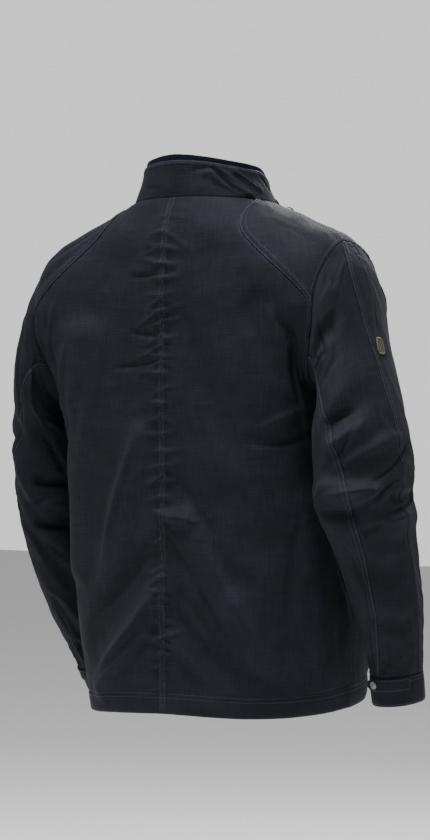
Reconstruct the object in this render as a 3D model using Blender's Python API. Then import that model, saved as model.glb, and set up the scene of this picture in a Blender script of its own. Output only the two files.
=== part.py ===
"""Rain jacket, hollow, in the pose in which it is worn: one closed solid for each cut piece.

Metres, +Z up, front towards -Y, the wearer's left towards +X. The origin is the middle of the neck
opening at the height of the back neck seam.
"""

from collections import namedtuple
from math import cos, pi, radians, sin, tau

import bpy
import numpy as np
from mathutils import Vector

# Cloth and seams
WALL = 0.0018  # waxed cotton and the lining cloth behind it
HEM_TURN, HEM_EXTRA = 0.025, 0.0014  # height and thickness of the turned-up layer inside the hem
SEAM_GAP = 0.0004  # between the edges of two sewn pieces
LAYER_GAP = 0.0004  # between a piece and what lies on it

# Body. turn runs round the body from 0 at the centre back to 1 at the centre front, and is positive on
# the wearer's left. level is a row number of BODY_RINGS, counted from 0, with fractions between the rows.
Ring = namedtuple("Ring", "name side_drop back_drop front_drop half_width middle back front"
                          " square_back square_front")
BODY_RINGS = (
    Ring("neck seam", 0.004, 0.000, 0.060, 0.100, -0.005, 0.077, -0.110, 2.5, 2.3),
    Ring("neck slope", 0.019, 0.022, 0.080, 0.138, -0.004, 0.086, -0.130, 2.4, 2.2),
    Ring("mid shoulder", 0.036, 0.048, 0.104, 0.178, -0.002, 0.094, -0.147, 2.8, 2.2),
    Ring("shoulder point", 0.056, 0.080, 0.130, 0.220, 0.000, 0.098, -0.160, 3.5, 2.3),
    Ring("shoulder round", 0.090, 0.118, 0.160, 0.243, 0.000, 0.102, -0.170, 5.0, 2.5),
    Ring("back armhole", 0.160, 0.175, 0.205, 0.252, -0.004, 0.103, -0.180, 6.0, 2.6),
    Ring("underarm", 0.250, 0.250, 0.262, 0.215, -0.020, 0.103, -0.188, 5.0, 2.6),
    Ring("chest", 0.315, 0.315, 0.320, 0.204, -0.034, 0.102, -0.193, 4.2, 2.5),
    Ring("waist", 0.420, 0.420, 0.420, 0.206, -0.046, 0.100, -0.199, 3.4, 2.4),
    Ring("hip", 0.550, 0.550, 0.545, 0.211, -0.051, 0.100, -0.204, 2.8, 2.3),
    Ring("hem", 0.692, 0.694, 0.680, 0.200, -0.055, 0.100, -0.210, 2.2, 2.2),
)
# How much lower the hem hangs than its ring, at nine even turns from -1 to 1
HEM_HANG = (0.000, -0.012, -0.002, 0.006, 0.004, 0.014, 0.023, 0.010, 0.000)
HEM_LEVEL = len(BODY_RINGS) - 1
SIDE_SEAM = 0.5
ZIP_HALF_GAP = 0.005  # from the centre front to each front's edge

# Armhole: a loop on the body, counted round as the sleeve is: 0 at the shoulder, then back, underarm, front
LOOP_PIECES = 24
LOOP_LEVEL, LOOP_HALF = 4.85, 1.55
LOOP_BACK_REACH, LOOP_FRONT_REACH = 0.240, 0.180
LOOP_TOP_POINT, LOOP_FOOT_SQUARE = 1.4, 0.8  # over 1 narrows the loop's top, under 1 squares its foot
BACK_JUNCTION, FRONT_JUNCTION = 6, 21  # where the yoke's seams meet the armhole

# Yoke seams from the neck to the armhole, before their last point, which is the junction
SeamPoint = namedtuple("SeamPoint", "turn level")
YOKE_BACK = (SeamPoint(0.400, 0.0), SeamPoint(0.265, 1.00), SeamPoint(0.195, 2.20), SeamPoint(0.205, 3.60))
YOKE_FRONT = (SeamPoint(0.585, 0.0), SeamPoint(0.620, 1.20), SeamPoint(0.640, 2.50))

# Sleeves. The rings after the armhole. lean tilts a ring's outer side up, and pitch its back, in degrees.
# strip and elbow are the places round the ring of the outer strip's back edge and of the elbow seam.
SleeveRing = namedtuple("SleeveRing", "name x y z half_width half_depth lean pitch strip elbow")
SLEEVES = {
    "right": (
        SleeveRing("cap", 0.2400, 0.008, -0.1925, 0.0890, 0.088, 80, 0, 0.045, 0.315),
        SleeveRing("upper", 0.2530, 0.015, -0.243, 0.0630, 0.085, 67, 0, 0.025, 0.285),
        SleeveRing("biceps", 0.2695, 0.034, -0.303, 0.0520, 0.084, 20, 0, 0.000, 0.238),
        SleeveRing("above elbow", 0.2780, 0.0335, -0.365, 0.0560, 0.088, 6, 2, -0.010, 0.195),
        SleeveRing("elbow", 0.2820, 0.040, -0.405, 0.0560, 0.082, 3, 8, -0.010, 0.175),
        SleeveRing("below elbow", 0.2840, 0.0125, -0.4675, 0.0470, 0.069, 0, 14, -0.010, 0.178),
        SleeveRing("forearm", 0.2840, -0.0176, -0.548, 0.0410, 0.058, 0, 14, -0.010, 0.196),
        SleeveRing("wrist", 0.2825, -0.036, -0.607, 0.0340, 0.047, 0, 10, -0.010, 0.235),
        SleeveRing("cuff seam", 0.2810, -0.043, -0.637, 0.0325, 0.044, 0, 6, -0.010, 0.260),
    ),
    "left": (
        SleeveRing("cap", 0.2410, 0.008, -0.1925, 0.0890, 0.088, 80, 0, 0.045, 0.315),
        SleeveRing("upper", 0.2530, 0.014, -0.243, 0.0630, 0.085, 67, 0, 0.025, 0.285),
        SleeveRing("biceps", 0.2680, -0.011, -0.304, 0.0520, 0.084, 20, 4, 0.000, 0.238),
        SleeveRing("above elbow", 0.2745, -0.029, -0.365, 0.0560, 0.086, 8, 8, -0.010, 0.195),
        SleeveRing("elbow", 0.2780, -0.037, -0.414, 0.0555, 0.083, 3, 12, -0.010, 0.175),
        SleeveRing("below elbow", 0.2770, -0.040, -0.470, 0.0470, 0.070, 0, 18, -0.010, 0.178),
        SleeveRing("forearm", 0.2720, -0.064, -0.550, 0.0410, 0.057, -3, 24, -0.010, 0.196),
        SleeveRing("wrist", 0.2660, -0.088, -0.610, 0.0340, 0.047, -5, 28, -0.010, 0.235),
        SleeveRing("cuff seam", 0.2620, -0.107, -0.646, 0.0325, 0.044, -6, 28, -0.010, 0.260),
    ),
}
CUFF_HEIGHT = 0.040
STRIP_BACK, ELBOW_SEAM, STRIP_FRONT = 1, 8, 23  # columns of the armhole loop where these seams start

# Collar: rings above the neck seam, with negative drops
COLLAR_RINGS = (
    Ring("stand low", -0.010, -0.014, 0.046, 0.093, -0.002, 0.077, -0.104, 2.4, 2.3),
    Ring("stand middle", -0.024, -0.032, 0.026, 0.087, 0.000, 0.076, -0.097, 2.3, 2.2),
    Ring("stand top", -0.038, -0.050, 0.006, 0.083, 0.002, 0.076, -0.092, 2.2, 2.2),
)
COLLAR_END_LOW, COLLAR_END_TOP = 0.985, 0.930  # turns at which the collar's front edges stand
INNER_COLLAR_START = 0.08  # rise at which the inner collar starts, above the neck seam
INNER_COLLAR_MORE = 0.008  # it stands this much higher than the outer one
INNER_COLLAR_INSET = 0.0032  # and is this far inside the outer face at its top

# Grid counts
YOKE_ROWS, BODY_ROWS = 6, 16
GATHER_SPLIT = 3  # rows of the gathered strip beside the centre-back seam for each row of the panel
GATHER_COLUMNS = (0.0, 0.035, 0.08, 0.16)  # the strip's columns, as parts of the panel's width
BACK_COLUMNS, FRONT_COLUMNS = 9, 7
SLEEVE_STEPS = (2, 2, 3, 3, 3, 3, 4, 3, 2)  # rows between one sleeve ring and the next
COLLAR_ROWS, INNER_COLLAR_ROWS = 4, 2
CUFF_ROW_PARTS = (0.0, 0.04, 0.24, 0.48, 1.0)  # rows of the cuff band, as parts of its height
STEP = 1e-3  # of a turn or a level, between two points that a normal is worked out from

# Folds, pressed in or out along the cloth's normal by depth. Both ends are a turn and a level on the body,
# a place round and a ring number on a sleeve, and a turn and a rise on the collar. bow bends the fold
# sideways at its middle. width is from the fold's line to where it fades out. All in metres.
Fold = namedtuple("Fold", "turn_a level_a turn_b level_b width depth bow")
BODY_FOLDS = (
    # Back: the ridge down the left shoulder blade, and the drag lines that meet at the centre seam
    Fold(0.160, 5.20, 0.250, 8.60, 0.037, 0.010, 0.004),
    Fold(0.055, 7.05, 0.140, 8.70, 0.028, 0.006, 0),
    Fold(0.000, 8.80, 0.190, 9.75, 0.030, 0.007, -0.006),
    Fold(0.030, 8.50, 0.200, 9.38, 0.030, -0.006, -0.004),
    Fold(-0.010, 8.08, -0.065, 8.07, 0.020, 0.005, 0),
    Fold(-0.065, 8.07, -0.225, 9.45, 0.032, 0.007, 0),
    Fold(-0.040, 7.65, -0.150, 8.75, 0.030, -0.006, 0),
    Fold(-0.010, 8.80, -0.185, 9.62, 0.028, -0.006, 0.004),
    Fold(-0.030, 9.15, -0.150, 9.66, 0.020, -0.004, 0),
    Fold(-0.040, 4.97, -0.135, 7.00, 0.050, -0.005, 0),
    # Back: the hollows under the right yoke and armpit, and soft ones on the sides
    Fold(-0.180, 4.65, -0.250, 5.85, 0.028, -0.005, 0),
    Fold(-0.232, 5.12, -0.310, 6.00, 0.026, -0.009, 0),
    Fold(-0.210, 7.10, -0.330, 7.05, 0.018, -0.004, 0.003),
    Fold(-0.330, 8.00, -0.380, 9.70, 0.045, 0.005, 0),
    Fold(0.240, 6.80, 0.330, 7.60, 0.030, -0.005, 0),
    Fold(0.400, 7.20, 0.420, 9.50, 0.045, 0.005, 0),
    # Front, like the back but softer
    Fold(0.620, 6.30, 0.740, 8.00, 0.040, 0.006, 0),
    Fold(-0.615, 6.20, -0.750, 7.80, 0.040, 0.006, 0),
    Fold(0.700, 8.20, 0.840, 9.50, 0.035, -0.006, 0.004),
    Fold(-0.680, 8.00, -0.820, 9.40, 0.035, -0.006, 0.004),
    Fold(0.600, 8.60, 0.660, 9.70, 0.030, 0.005, 0),
    Fold(-0.580, 8.50, -0.640, 9.60, 0.030, 0.005, 0),
    Fold(0.800, 3.20, 0.690, 4.50, 0.030, 0.004, 0),
    Fold(-0.790, 3.00, -0.690, 4.40, 0.030, 0.004, 0),
    Fold(0.880, 7.00, 0.720, 7.50, 0.024, 0.004, 0.004),
    Fold(-0.860, 7.30, -0.700, 7.70, 0.024, 0.004, 0.004),
)
INNER_ELBOW_FOLDS = (
    Fold(0.560, 2.60, 0.700, 3.00, 0.020, -0.006, 0),
    Fold(0.520, 3.60, 0.720, 3.90, 0.020, -0.007, 0),
    Fold(0.540, 4.85, 0.750, 4.70, 0.022, -0.010, 0),
    Fold(0.500, 5.60, 0.680, 5.80, 0.020, -0.006, 0),
    Fold(0.560, 7.00, 0.730, 7.20, 0.018, -0.004, 0),
)
SLEEVE_FOLDS = {
    "right": (
        Fold(0.165, 1.60, 0.250, 1.30, 0.020, -0.008, 0),
        Fold(0.225, 3.15, 0.105, 2.85, 0.022, -0.008, 0),
        Fold(0.235, 3.50, 0.120, 3.30, 0.022, 0.005, 0),
        Fold(0.260, 4.45, 0.110, 4.70, 0.030, 0.009, 0),
        Fold(0.320, 5.00, 0.170, 5.12, 0.019, -0.009, 0),
        Fold(-0.085, 5.08, 0.030, 4.95, 0.016, -0.006, 0),
        Fold(-0.085, 5.50, 0.050, 5.50, 0.022, 0.004, 0),
        Fold(0.250, 6.00, 0.080, 6.30, 0.022, -0.004, 0),
        Fold(0.220, 7.00, 0.070, 7.20, 0.020, -0.004, 0),
        Fold(0.200, 8.10, 0.230, 8.80, 0.014, -0.004, 0),
        Fold(0.300, 8.00, 0.290, 8.80, 0.014, -0.004, 0),
    ) + INNER_ELBOW_FOLDS,
    "left": (
        Fold(0.320, 4.18, 0.430, 4.29, 0.019, -0.008, 0),
        Fold(0.300, 5.30, 0.430, 5.46, 0.019, -0.008, 0),
        Fold(0.205, 3.60, 0.280, 4.60, 0.022, 0.006, 0),
        Fold(0.340, 4.80, 0.440, 4.85, 0.020, 0.006, 0),
        Fold(0.260, 5.70, 0.360, 6.50, 0.020, -0.005, 0),
        Fold(0.270, 6.90, 0.330, 7.80, 0.018, -0.004, 0),
        Fold(0.150, 2.80, 0.240, 3.20, 0.022, -0.006, 0),
        Fold(0.180, 8.10, 0.210, 8.80, 0.014, -0.004, 0),
        Fold(0.290, 8.00, 0.280, 8.80, 0.014, -0.004, 0),
    ) + INNER_ELBOW_FOLDS,
}
COLLAR_FOLDS = (
    Fold(-0.225, 0.62, -0.370, 0.12, 0.013, 0.0045, 0),
    Fold(-0.340, 0.84, -0.480, 0.40, 0.012, 0.0045, 0),
)
SLEEVE_GIRTH, SLEEVE_RING_GAP = 0.42, 0.062  # mean sizes, by which sleeve folds are placed
COLLAR_HALF_GIRTH, COLLAR_HEIGHT = 0.30, 0.054
# Gathers along the centre-back seam: one wave to two rows of the gathered strip
GATHER_DEPTH, GATHER_AT_SEAM = 0.0016, 0.35  # at its fullest, and the part of it that is left at the seam
GATHER_PEAK, GATHER_END = 0.008, 0.030  # distances from the seam of the fullest place and of the end
GATHER_NECK_FADE, GATHER_HEM_FADE = 0.030, 0.010  # lengths over which they start and end
SWELL, SWELL_LENGTHS = 0.3, (0.103, 0.273)  # how uneven they are, and the lengths of that unevenness
# Folds fade out over these parts of a level, a ring gap and the collar's height
NECK_FADE, ARMHOLE_FADE, CUFF_FADE, COLLAR_FADE = 0.8, 0.6, 0.3, 0.1

# Tabs, snaps and patch
TAB_WALL = 0.0014
CUFF_TAB_COLUMNS = (3, 10)  # first and last column of the cuff that a tab covers
CUFF_TAB_TIP = 0.35  # the tip's height, as a part of the tab's
CUFF_TAB_LIFT = 0.004  # the tip stands off by this
SNAP_COLUMN = 8.5
SNAP_RADIUS, SNAP_HEIGHT, SNAP_BEVEL, SNAP_SIDES = 0.0055, 0.0020, 0.0006, 16
SNAP_SINK_ROOM = 0.0006  # under its flat back, because the tab is curved
PATCH_SIDE, PATCH_AROUND, PATCH_ALONG = "right", -0.015, 2.21
PATCH_WIDTH, PATCH_HEIGHT, PATCH_WALL = 0.019, 0.022, 0.0012
PATCH_GIRTH, PATCH_RING_GAP = 0.53, 0.10  # as SLEEVE_GIRTH and SLEEVE_RING_GAP, at the patch's place
PATCH_GAP = 0.0009
PATCH_CORNER = 0.25  # how much of its half width a corner point moves in

# Throat tab: a strap on the collar whose end stands out as a loop and holds a ring
THROAT_TURNS, THROAT_RISE = (-0.60, -0.69), 0.17
THROAT_HALF_HEIGHT = 0.0030
THROAT_BEND = 0.0016  # how far out the strap turns
THROAT_WALL, THROAT_HOLE, THROAT_REACH = 0.0012, 0.0034, 0.0085
RING_RADIUS, RING_WIRE, RING_AXIS_OUT = 0.0070, 0.0009, 0.0046
RING_SEGMENTS, WIRE_SEGMENTS = 16, 6
THROAT_COLUMNS, THROAT_LOOP_POINTS = 5, 7

# Zip, closed up to the slider at the throat
ZIP_WALL, ZIP_BEHIND = 0.0008, 0.0018  # the tape's thickness, and its distance behind the front's wall
TAPE_INNER, TAPE_OUTER = 0.0034, 0.0180  # the tape's edges, from the centre front
TAPE_START = 0.15  # level
ZIP_END = 0.004  # above the hem
ZIP_CLEAR = 0.030  # the hem isn't turned up nearer the centre front than this
CHAIN_HALF, CHAIN_WALL, CHAIN_DEPTH = 0.0029, 0.0026, 0.0016
SLIDER_LEVEL = 0.45
SLIDER_HALF_WIDTH, SLIDER_HALF_LENGTH = 0.0045, 0.0052
SLIDER_BACK, SLIDER_FACE = -0.0013, 0.0005  # along the cloth's normal, from the cloth's outer face
BRIDGE_HALF_WIDTH, BRIDGE_HALF_LENGTH, BRIDGE_TOP = 0.0015, 0.0032, 0.0043
BRIDGE_HOLE_HALF, BRIDGE_HOLE_TOP = 0.0019, 0.0031
PULL_HALF_WIDTH, PULL_LENGTH, PULL_HALF_WALL = 0.0038, 0.027, 0.0007
PULL_HOLE_HALF, PULL_HOLE_LENGTH = 0.0023, 0.009

# Finishes
NAVY, INNER_NAVY = (0.018, 0.023, 0.036), (0.013, 0.017, 0.030)
OLIVE, METAL, TAPE_COLOUR = (0.11, 0.10, 0.05), (0.55, 0.56, 0.57), (0.012, 0.014, 0.020)
CLOTH_ROUGHNESS, METAL_ROUGHNESS = 0.62, 0.32
SHARP_FROM = radians(50)  # edges that turn less are shaded smooth
LEAST_MITRE = 0.4  # keeps a sharp corner from being drawn in too far
# Points inside, from which outward is known
INSIDE_BODY = np.array([0.0, -0.05, -0.35])
COLLAR_MIDDLE = np.array([0.0, -0.01, 0.0])


def numbers(rows):
    """The number columns of a table, as an array of a row for each ring."""
    return np.array([[value for value in row if not isinstance(value, str)] for row in rows])


def spline(rows, at):
    """Smooth values between rows, at row numbers with fractions. rows is a table, or one row of points
    for each ring, with as many points as at."""
    rows, at = np.asarray(rows, float), np.asarray(at, float)
    last = len(rows) - 1
    at = np.clip(at, 0, last)
    low = np.minimum(at.astype(int), last - 1)
    padded = np.concatenate([[2 * rows[0] - rows[1]], rows, [2 * rows[-1] - rows[-2]]])
    if rows.ndim == 2:
        before, here, after, beyond = (padded[low + step] for step in range(4))
    else:
        before, here, after, beyond = (
            np.take_along_axis(padded, (low + step)[None, ..., None], 0)[0] for step in range(4))
    part = (at - low)[..., None]
    bend = 2 * before - 5 * here + 4 * after - beyond
    swing = 3 * (here - after) + beyond - before
    return here + 0.5 * part * (after - before + part * (bend + part * swing))


def ring_points(values, turn):
    """Points on rings: values holds Ring's numbers in its last axis."""
    side_drop, back_drop, front_drop, half_width, middle, back, front = np.moveaxis(values[..., :7], -1, 0)
    s, c = np.sin(pi * turn), np.cos(pi * turn)
    square = np.where(c > 0, values[..., 7], values[..., 8])
    stretch = (np.abs(s) ** square + np.abs(c) ** square) ** (-1 / square)
    reach = np.where(c > 0, back - middle, middle - front)
    end_drop = np.where(c > 0, back_drop, front_drop)
    return np.stack([half_width * s * stretch, middle + reach * c * stretch,
                     -(side_drop + (end_drop - side_drop) * c**2)], axis=-1)


BODY = numbers(BODY_RINGS)
COLLAR = numbers(COLLAR_RINGS)
# For folds: half the body's girth at each ring, and the distance down the back to it
GIRTHS = pi * np.sqrt((BODY[:, 3] ** 2 + ((BODY[:, 5] - BODY[:, 6]) / 2) ** 2) / 2)
DOWNS = np.concatenate([[0], np.cumsum(np.hypot(np.diff(BODY[:, 1]), np.diff(BODY[:, 5])))])
BODY_SCALE = np.stack([GIRTHS, DOWNS], axis=-1)
BACK_DROP_AND_REACH, FRONT_DROP_AND_REACH = (1, 5), (2, 6)  # columns of BODY down the centre back and front
GATHER_ROW = DOWNS[-1] / (GATHER_SPLIT * (YOKE_ROWS + LOOP_PIECES // 2 - BACK_JUNCTION + BODY_ROWS))


def fold_height(across, down, folds):
    """How far the folds move the cloth out at places given in metres across and down."""
    height = np.zeros(np.shape(across))
    for (start_x, start_y), (end_x, end_y), fold in folds:
        run_x, run_y = end_x - start_x, end_y - start_y
        length = np.hypot(run_x, run_y)
        along = ((across - start_x) * run_x + (down - start_y) * run_y) / length**2
        inside = np.clip(along, 0, 1)
        bow = fold.bow * 4 * inside * (1 - inside)
        off_side = ((across - start_x) * run_y - (down - start_y) * run_x) / length - bow
        off_end = (along - inside) * length
        off = np.hypot(off_side, off_end) / fold.width
        height += fold.depth * np.where(off < 1, (1 + np.cos(pi * np.minimum(off, 1))) / 2, 0)
    return height


def body_place(turn, level):
    """Metres across and down the cloth, for folds."""
    girth, down = np.moveaxis(spline(BODY_SCALE, level), -1, 0)
    return turn * girth, down


def body_smooth(turn, level):
    points = ring_points(spline(BODY, level), turn)
    hang = spline(np.array(HEM_HANG)[:, None], (turn + 1) * (len(HEM_HANG) - 1) / 2)[..., 0]
    points[..., 2] -= hang * (level / HEM_LEVEL) ** 3
    return points


def unit(vectors):
    return vectors / np.linalg.norm(vectors, axis=-1, keepdims=True)


def surface_normal(points_at, u, v):
    """Unit normals by differences of a smooth surface."""
    along_u = points_at(u + STEP, v) - points_at(u - STEP, v)
    along_v = points_at(u, v + STEP) - points_at(u, v - STEP)
    return unit(np.cross(along_u, along_v))


def gathers(across, down):
    """Height of the waves along the centre-back seam."""
    distance = np.abs(across)
    wave = np.cos(pi * down / GATHER_ROW)
    short, long = (np.sin(tau * down / length + np.sign(across)) for length in SWELL_LENGTHS)
    uneven = 1 - SWELL + SWELL * short * long
    rise = GATHER_AT_SEAM + (1 - GATHER_AT_SEAM) * distance / GATHER_PEAK
    fall = (GATHER_END - distance) / (GATHER_END - GATHER_PEAK)
    start, end = down / GATHER_NECK_FADE, (DOWNS[-1] - HEM_TURN - down) / GATHER_HEM_FADE
    ends = np.clip(start, 0, 1) * np.clip(end, 0, 1)
    return GATHER_DEPTH * wave * uneven * ends * np.clip(np.minimum(rise, fall), 0, 1)


def body(turn, level):
    """Points of the body's outer face, folds and all."""
    turn, level = np.broadcast_arrays(np.asarray(turn, float), np.asarray(level, float))
    normal = surface_normal(body_smooth, turn, np.clip(level, STEP, HEM_LEVEL - STEP))
    placed = []
    for fold in BODY_FOLDS:
        ends = body_place(np.array([fold.turn_a, fold.turn_b]), np.array([fold.level_a, fold.level_b]))
        placed.append(((ends[0][0], ends[1][0]), (ends[0][1], ends[1][1]), fold))
    across, down = body_place(turn, level)
    fade = np.clip(level / NECK_FADE, 0, 1)
    height = fade * fold_height(across, down, placed) + gathers(across, down)
    return body_smooth(turn, level) + normal * height[..., None]


def loop_place(around):
    """turn and level of the armhole, for the left side."""
    s = np.sin(tau * around)
    power = np.where(np.cos(tau * around) > 0, LOOP_TOP_POINT, LOOP_FOOT_SQUARE)
    s = np.sign(s) * np.abs(s) ** power
    turn = SIDE_SEAM - np.where(s > 0, LOOP_BACK_REACH, LOOP_FRONT_REACH) * s
    return turn, LOOP_LEVEL - LOOP_HALF * np.cos(tau * around)


def sleeve_smooth(side, around, along):
    """Points of a sleeve before folds. along is 0 at the armhole and then SLEEVES' row numbers, from 1."""
    sign = 1 if side == "left" else -1
    turn, level = loop_place(around)
    sections = [body(sign * turn, level)]
    out, back = np.cos(tau * around), np.sin(tau * around)
    for ring in SLEEVES[side] + (cuff_end(side),):
        lean, pitch = radians(ring.lean), radians(ring.pitch)
        across = ring.half_width * out
        deep = ring.half_depth * back
        x = ring.x + across * cos(lean)
        y = ring.y + deep * cos(pitch)
        z = ring.z + across * sin(lean) - deep * sin(pitch)
        sections.append(np.stack([sign * x, y, z], axis=-1))
    return spline(np.stack(sections), along)


def cuff_end(side):
    """The ring at the cuff's open edge: the cuff goes on in the direction of the forearm."""
    wrist, seam = SLEEVES[side][-2:]
    run = np.array([seam.x - wrist.x, seam.y - wrist.y, seam.z - wrist.z])
    end = np.array([seam.x, seam.y, seam.z]) + run / np.linalg.norm(run) * CUFF_HEIGHT
    return seam._replace(name="cuff edge", x=end[0], y=end[1], z=end[2])


def sleeve(side, around, along):
    """Points of a sleeve's outer face, folds and all."""
    around, along = np.broadcast_arrays(np.asarray(around, float), np.asarray(along, float))
    seam = len(SLEEVES[side])
    inner = np.clip(along, STEP, seam + 1 - STEP)
    normal = surface_normal(lambda u, v: sleeve_smooth(side, u, v), around, inner)
    normal *= -1 if side == "left" else 1
    placed = []
    for fold in SLEEVE_FOLDS[side]:
        placed.append(((fold.turn_a * SLEEVE_GIRTH, fold.level_a * SLEEVE_RING_GAP),
                       (fold.turn_b * SLEEVE_GIRTH, fold.level_b * SLEEVE_RING_GAP), fold))
    fade = np.clip(along / ARMHOLE_FADE, 0, 1) * np.clip((seam - along) / CUFF_FADE, 0, 1)
    height = sum(fold_height((around + lap) * SLEEVE_GIRTH, along * SLEEVE_RING_GAP, placed)
                 for lap in (-1, 0, 1))
    return sleeve_smooth(side, around, along) + normal * (fade * height)[..., None]


def collar_smooth(turn, rise):
    rows = np.stack([body(turn, 0.0)] + [ring_points(ring, turn) for ring in COLLAR])
    return spline(rows, rise * (len(rows) - 1))


def collar(turn, rise):
    """Points of the stand collar's outer face. rise is 0 at the neck seam and 1 at the top."""
    turn, rise = np.broadcast_arrays(np.asarray(turn, float), np.asarray(rise, float))
    placed = [((fold.turn_a * COLLAR_HALF_GIRTH, fold.level_a * COLLAR_HEIGHT),
               (fold.turn_b * COLLAR_HALF_GIRTH, fold.level_b * COLLAR_HEIGHT), fold)
              for fold in COLLAR_FOLDS]
    height = fold_height(turn * COLLAR_HALF_GIRTH, rise * COLLAR_HEIGHT, placed)
    height *= np.clip(rise / COLLAR_FADE, 0, 1)
    return collar_smooth(turn, rise) + collar_outward(turn, rise) * height[..., None]


def collar_outward(turn, rise):
    """Outward normals of the collar, leaving out its folds."""
    turn, rise = np.broadcast_arrays(np.asarray(turn, float), np.asarray(rise, float))
    normals = surface_normal(collar_smooth, turn, np.clip(rise, STEP, 1 - STEP))
    away = collar_smooth(turn, rise) - COLLAR_MIDDLE
    return normals * np.sign((normals * away).sum(axis=-1, keepdims=True))


def around_of(side, column, along):
    """Place round the sleeve of a column counted as on the armhole. The strip and the elbow seam pull the
    columns along."""
    rings = SLEEVES[side] + SLEEVES[side][-1:]
    rows = range(len(rings) + 1)
    strip = np.interp(along, rows, [STRIP_BACK / LOOP_PIECES] + [ring.strip for ring in rings])
    elbow = np.interp(along, rows, [ELBOW_SEAM / LOOP_PIECES] + [ring.elbow for ring in rings])
    width = (STRIP_BACK - STRIP_FRONT + LOOP_PIECES) / LOOP_PIECES
    in_strip = strip + (column - STRIP_BACK) / LOOP_PIECES
    in_back = strip + (column - STRIP_BACK) / (ELBOW_SEAM - STRIP_BACK) * (elbow - strip)
    in_under = elbow + (column - ELBOW_SEAM) / (STRIP_FRONT - ELBOW_SEAM) * (strip - width + 1 - elbow)
    return np.select([column <= STRIP_BACK, column <= ELBOW_SEAM, column <= STRIP_FRONT],
                     [in_strip, in_back, in_under], in_strip)


def seam_samples(points, junction):
    """turn and level along a yoke seam, from the neck to the armhole, as two arrays."""
    turn, level = loop_place(junction / LOOP_PIECES)
    line = np.array([tuple(point) for point in points] + [(float(turn), float(level))])
    samples = spline(line, np.linspace(0, len(line) - 1, YOKE_ROWS + 1))
    samples[:, 1] = np.maximum(samples[:, 1], 0)
    return samples[:, 0], samples[:, 1]


def body_row_levels():
    return np.linspace(LOOP_LEVEL + LOOP_HALF, HEM_LEVEL, BODY_ROWS + 1)[1:]


def edge_of(points, junction, columns):
    """turn and level down a panel's outer edge: yoke seam, armhole, side seam."""
    seam_turn, seam_level = seam_samples(points, junction)
    loop_turn, loop_level = loop_place(np.array(columns) / LOOP_PIECES)
    below = body_row_levels()
    turns = np.concatenate([seam_turn, loop_turn, np.full(len(below), SIDE_SEAM)])
    return turns, np.concatenate([seam_level, loop_level, below])


def even_levels(count, drop, reach):
    """Levels evenly spaced down the cloth at the centre back or front, whose columns of BODY are given."""
    levels = np.linspace(0, HEM_LEVEL, 1001)
    rows = spline(BODY, levels)
    steps = np.hypot(np.diff(rows[:, drop]), np.diff(rows[:, reach]))
    lengths = np.concatenate([[0], np.cumsum(steps)])
    return np.interp(np.linspace(0, lengths[-1], count + 1), lengths, levels)


def back_chains(sign):
    """Columns of the back panel from the centre seam outwards, the first ones with more rows."""
    turns, levels = edge_of(YOKE_BACK, BACK_JUNCTION, range(BACK_JUNCTION + 1, LOOP_PIECES // 2 + 1))
    rows = np.arange(len(turns))
    fine_rows = np.linspace(0, rows[-1], rows[-1] * GATHER_SPLIT + 1)
    inner = even_levels(len(fine_rows) - 1, *BACK_DROP_AND_REACH)
    chains = []
    for part in GATHER_COLUMNS:
        chains.append(body(sign * part * np.interp(fine_rows, rows, turns),
                           inner + part * (np.interp(fine_rows, rows, levels) - inner)))
    for part in np.linspace(GATHER_COLUMNS[-1], 1, BACK_COLUMNS + 1)[1:]:
        inner_here = inner[::GATHER_SPLIT]
        chains.append(body(sign * part * turns, inner_here + part * (levels - inner_here)))
    return chains


def zip_turn(level):
    girth = spline(BODY_SCALE, level)[..., 0]
    return 1 - ZIP_HALF_GAP / girth


def front_grid(sign):
    turns, levels = edge_of(YOKE_FRONT, FRONT_JUNCTION, range(FRONT_JUNCTION - 1, LOOP_PIECES // 2 - 1, -1))
    parts = np.linspace(0, 1, FRONT_COLUMNS + 1)
    inner = even_levels(len(levels) - 1, *FRONT_DROP_AND_REACH)
    ends = zip_turn(inner)
    return body(sign * (turns[:, None] + (ends - turns)[:, None] * parts),
                levels[:, None] + (inner - levels)[:, None] * parts)


def yoke_grid(sign):
    """A patch between the neck, the armhole's top and the two yoke seams."""
    back_turn, back_level = seam_samples(YOKE_BACK, BACK_JUNCTION)
    front_turn, front_level = seam_samples(YOKE_FRONT, FRONT_JUNCTION)
    columns = np.arange(BACK_JUNCTION, FRONT_JUNCTION - LOOP_PIECES - 1, -1)
    arm_turn, arm_level = loop_place(columns / LOOP_PIECES)
    u = np.linspace(0, 1, len(columns))[None, :]
    v = np.linspace(0, 1, YOKE_ROWS + 1)[:, None]

    def patch(neck, arm, back, front):
        sides = (1 - v) * neck + v * arm + (1 - u) * back[:, None] + u * front[:, None]
        corners = ((1 - v) * ((1 - u) * back[0] + u * front[0])
                   + v * ((1 - u) * back[-1] + u * front[-1]))
        return sides - corners

    neck_turn = (1 - u) * back_turn[0] + u * front_turn[0]
    turn = patch(neck_turn, arm_turn[None, :], back_turn, front_turn)
    level = patch(0 * u, arm_level[None, :], back_level, front_level)
    return body(sign * turn, level)


def neck_turns():
    """The neck seam's points, from the centre back to the collar's end, as turns."""
    back = seam_samples(YOKE_BACK, BACK_JUNCTION)[0][0]
    front = seam_samples(YOKE_FRONT, FRONT_JUNCTION)[0][0]
    columns = BACK_JUNCTION + LOOP_PIECES - FRONT_JUNCTION
    end = zip_turn(np.array(0.0))
    back_parts = np.linspace(GATHER_COLUMNS[-1], 1, BACK_COLUMNS + 1)[1:]
    turns = np.concatenate([back * np.array(GATHER_COLUMNS), back * back_parts,
                            np.linspace(back, front, columns + 1)[1:],
                            np.linspace(front, end, FRONT_COLUMNS + 1)[1:]])
    return np.concatenate([-turns[:0:-1], turns])


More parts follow.
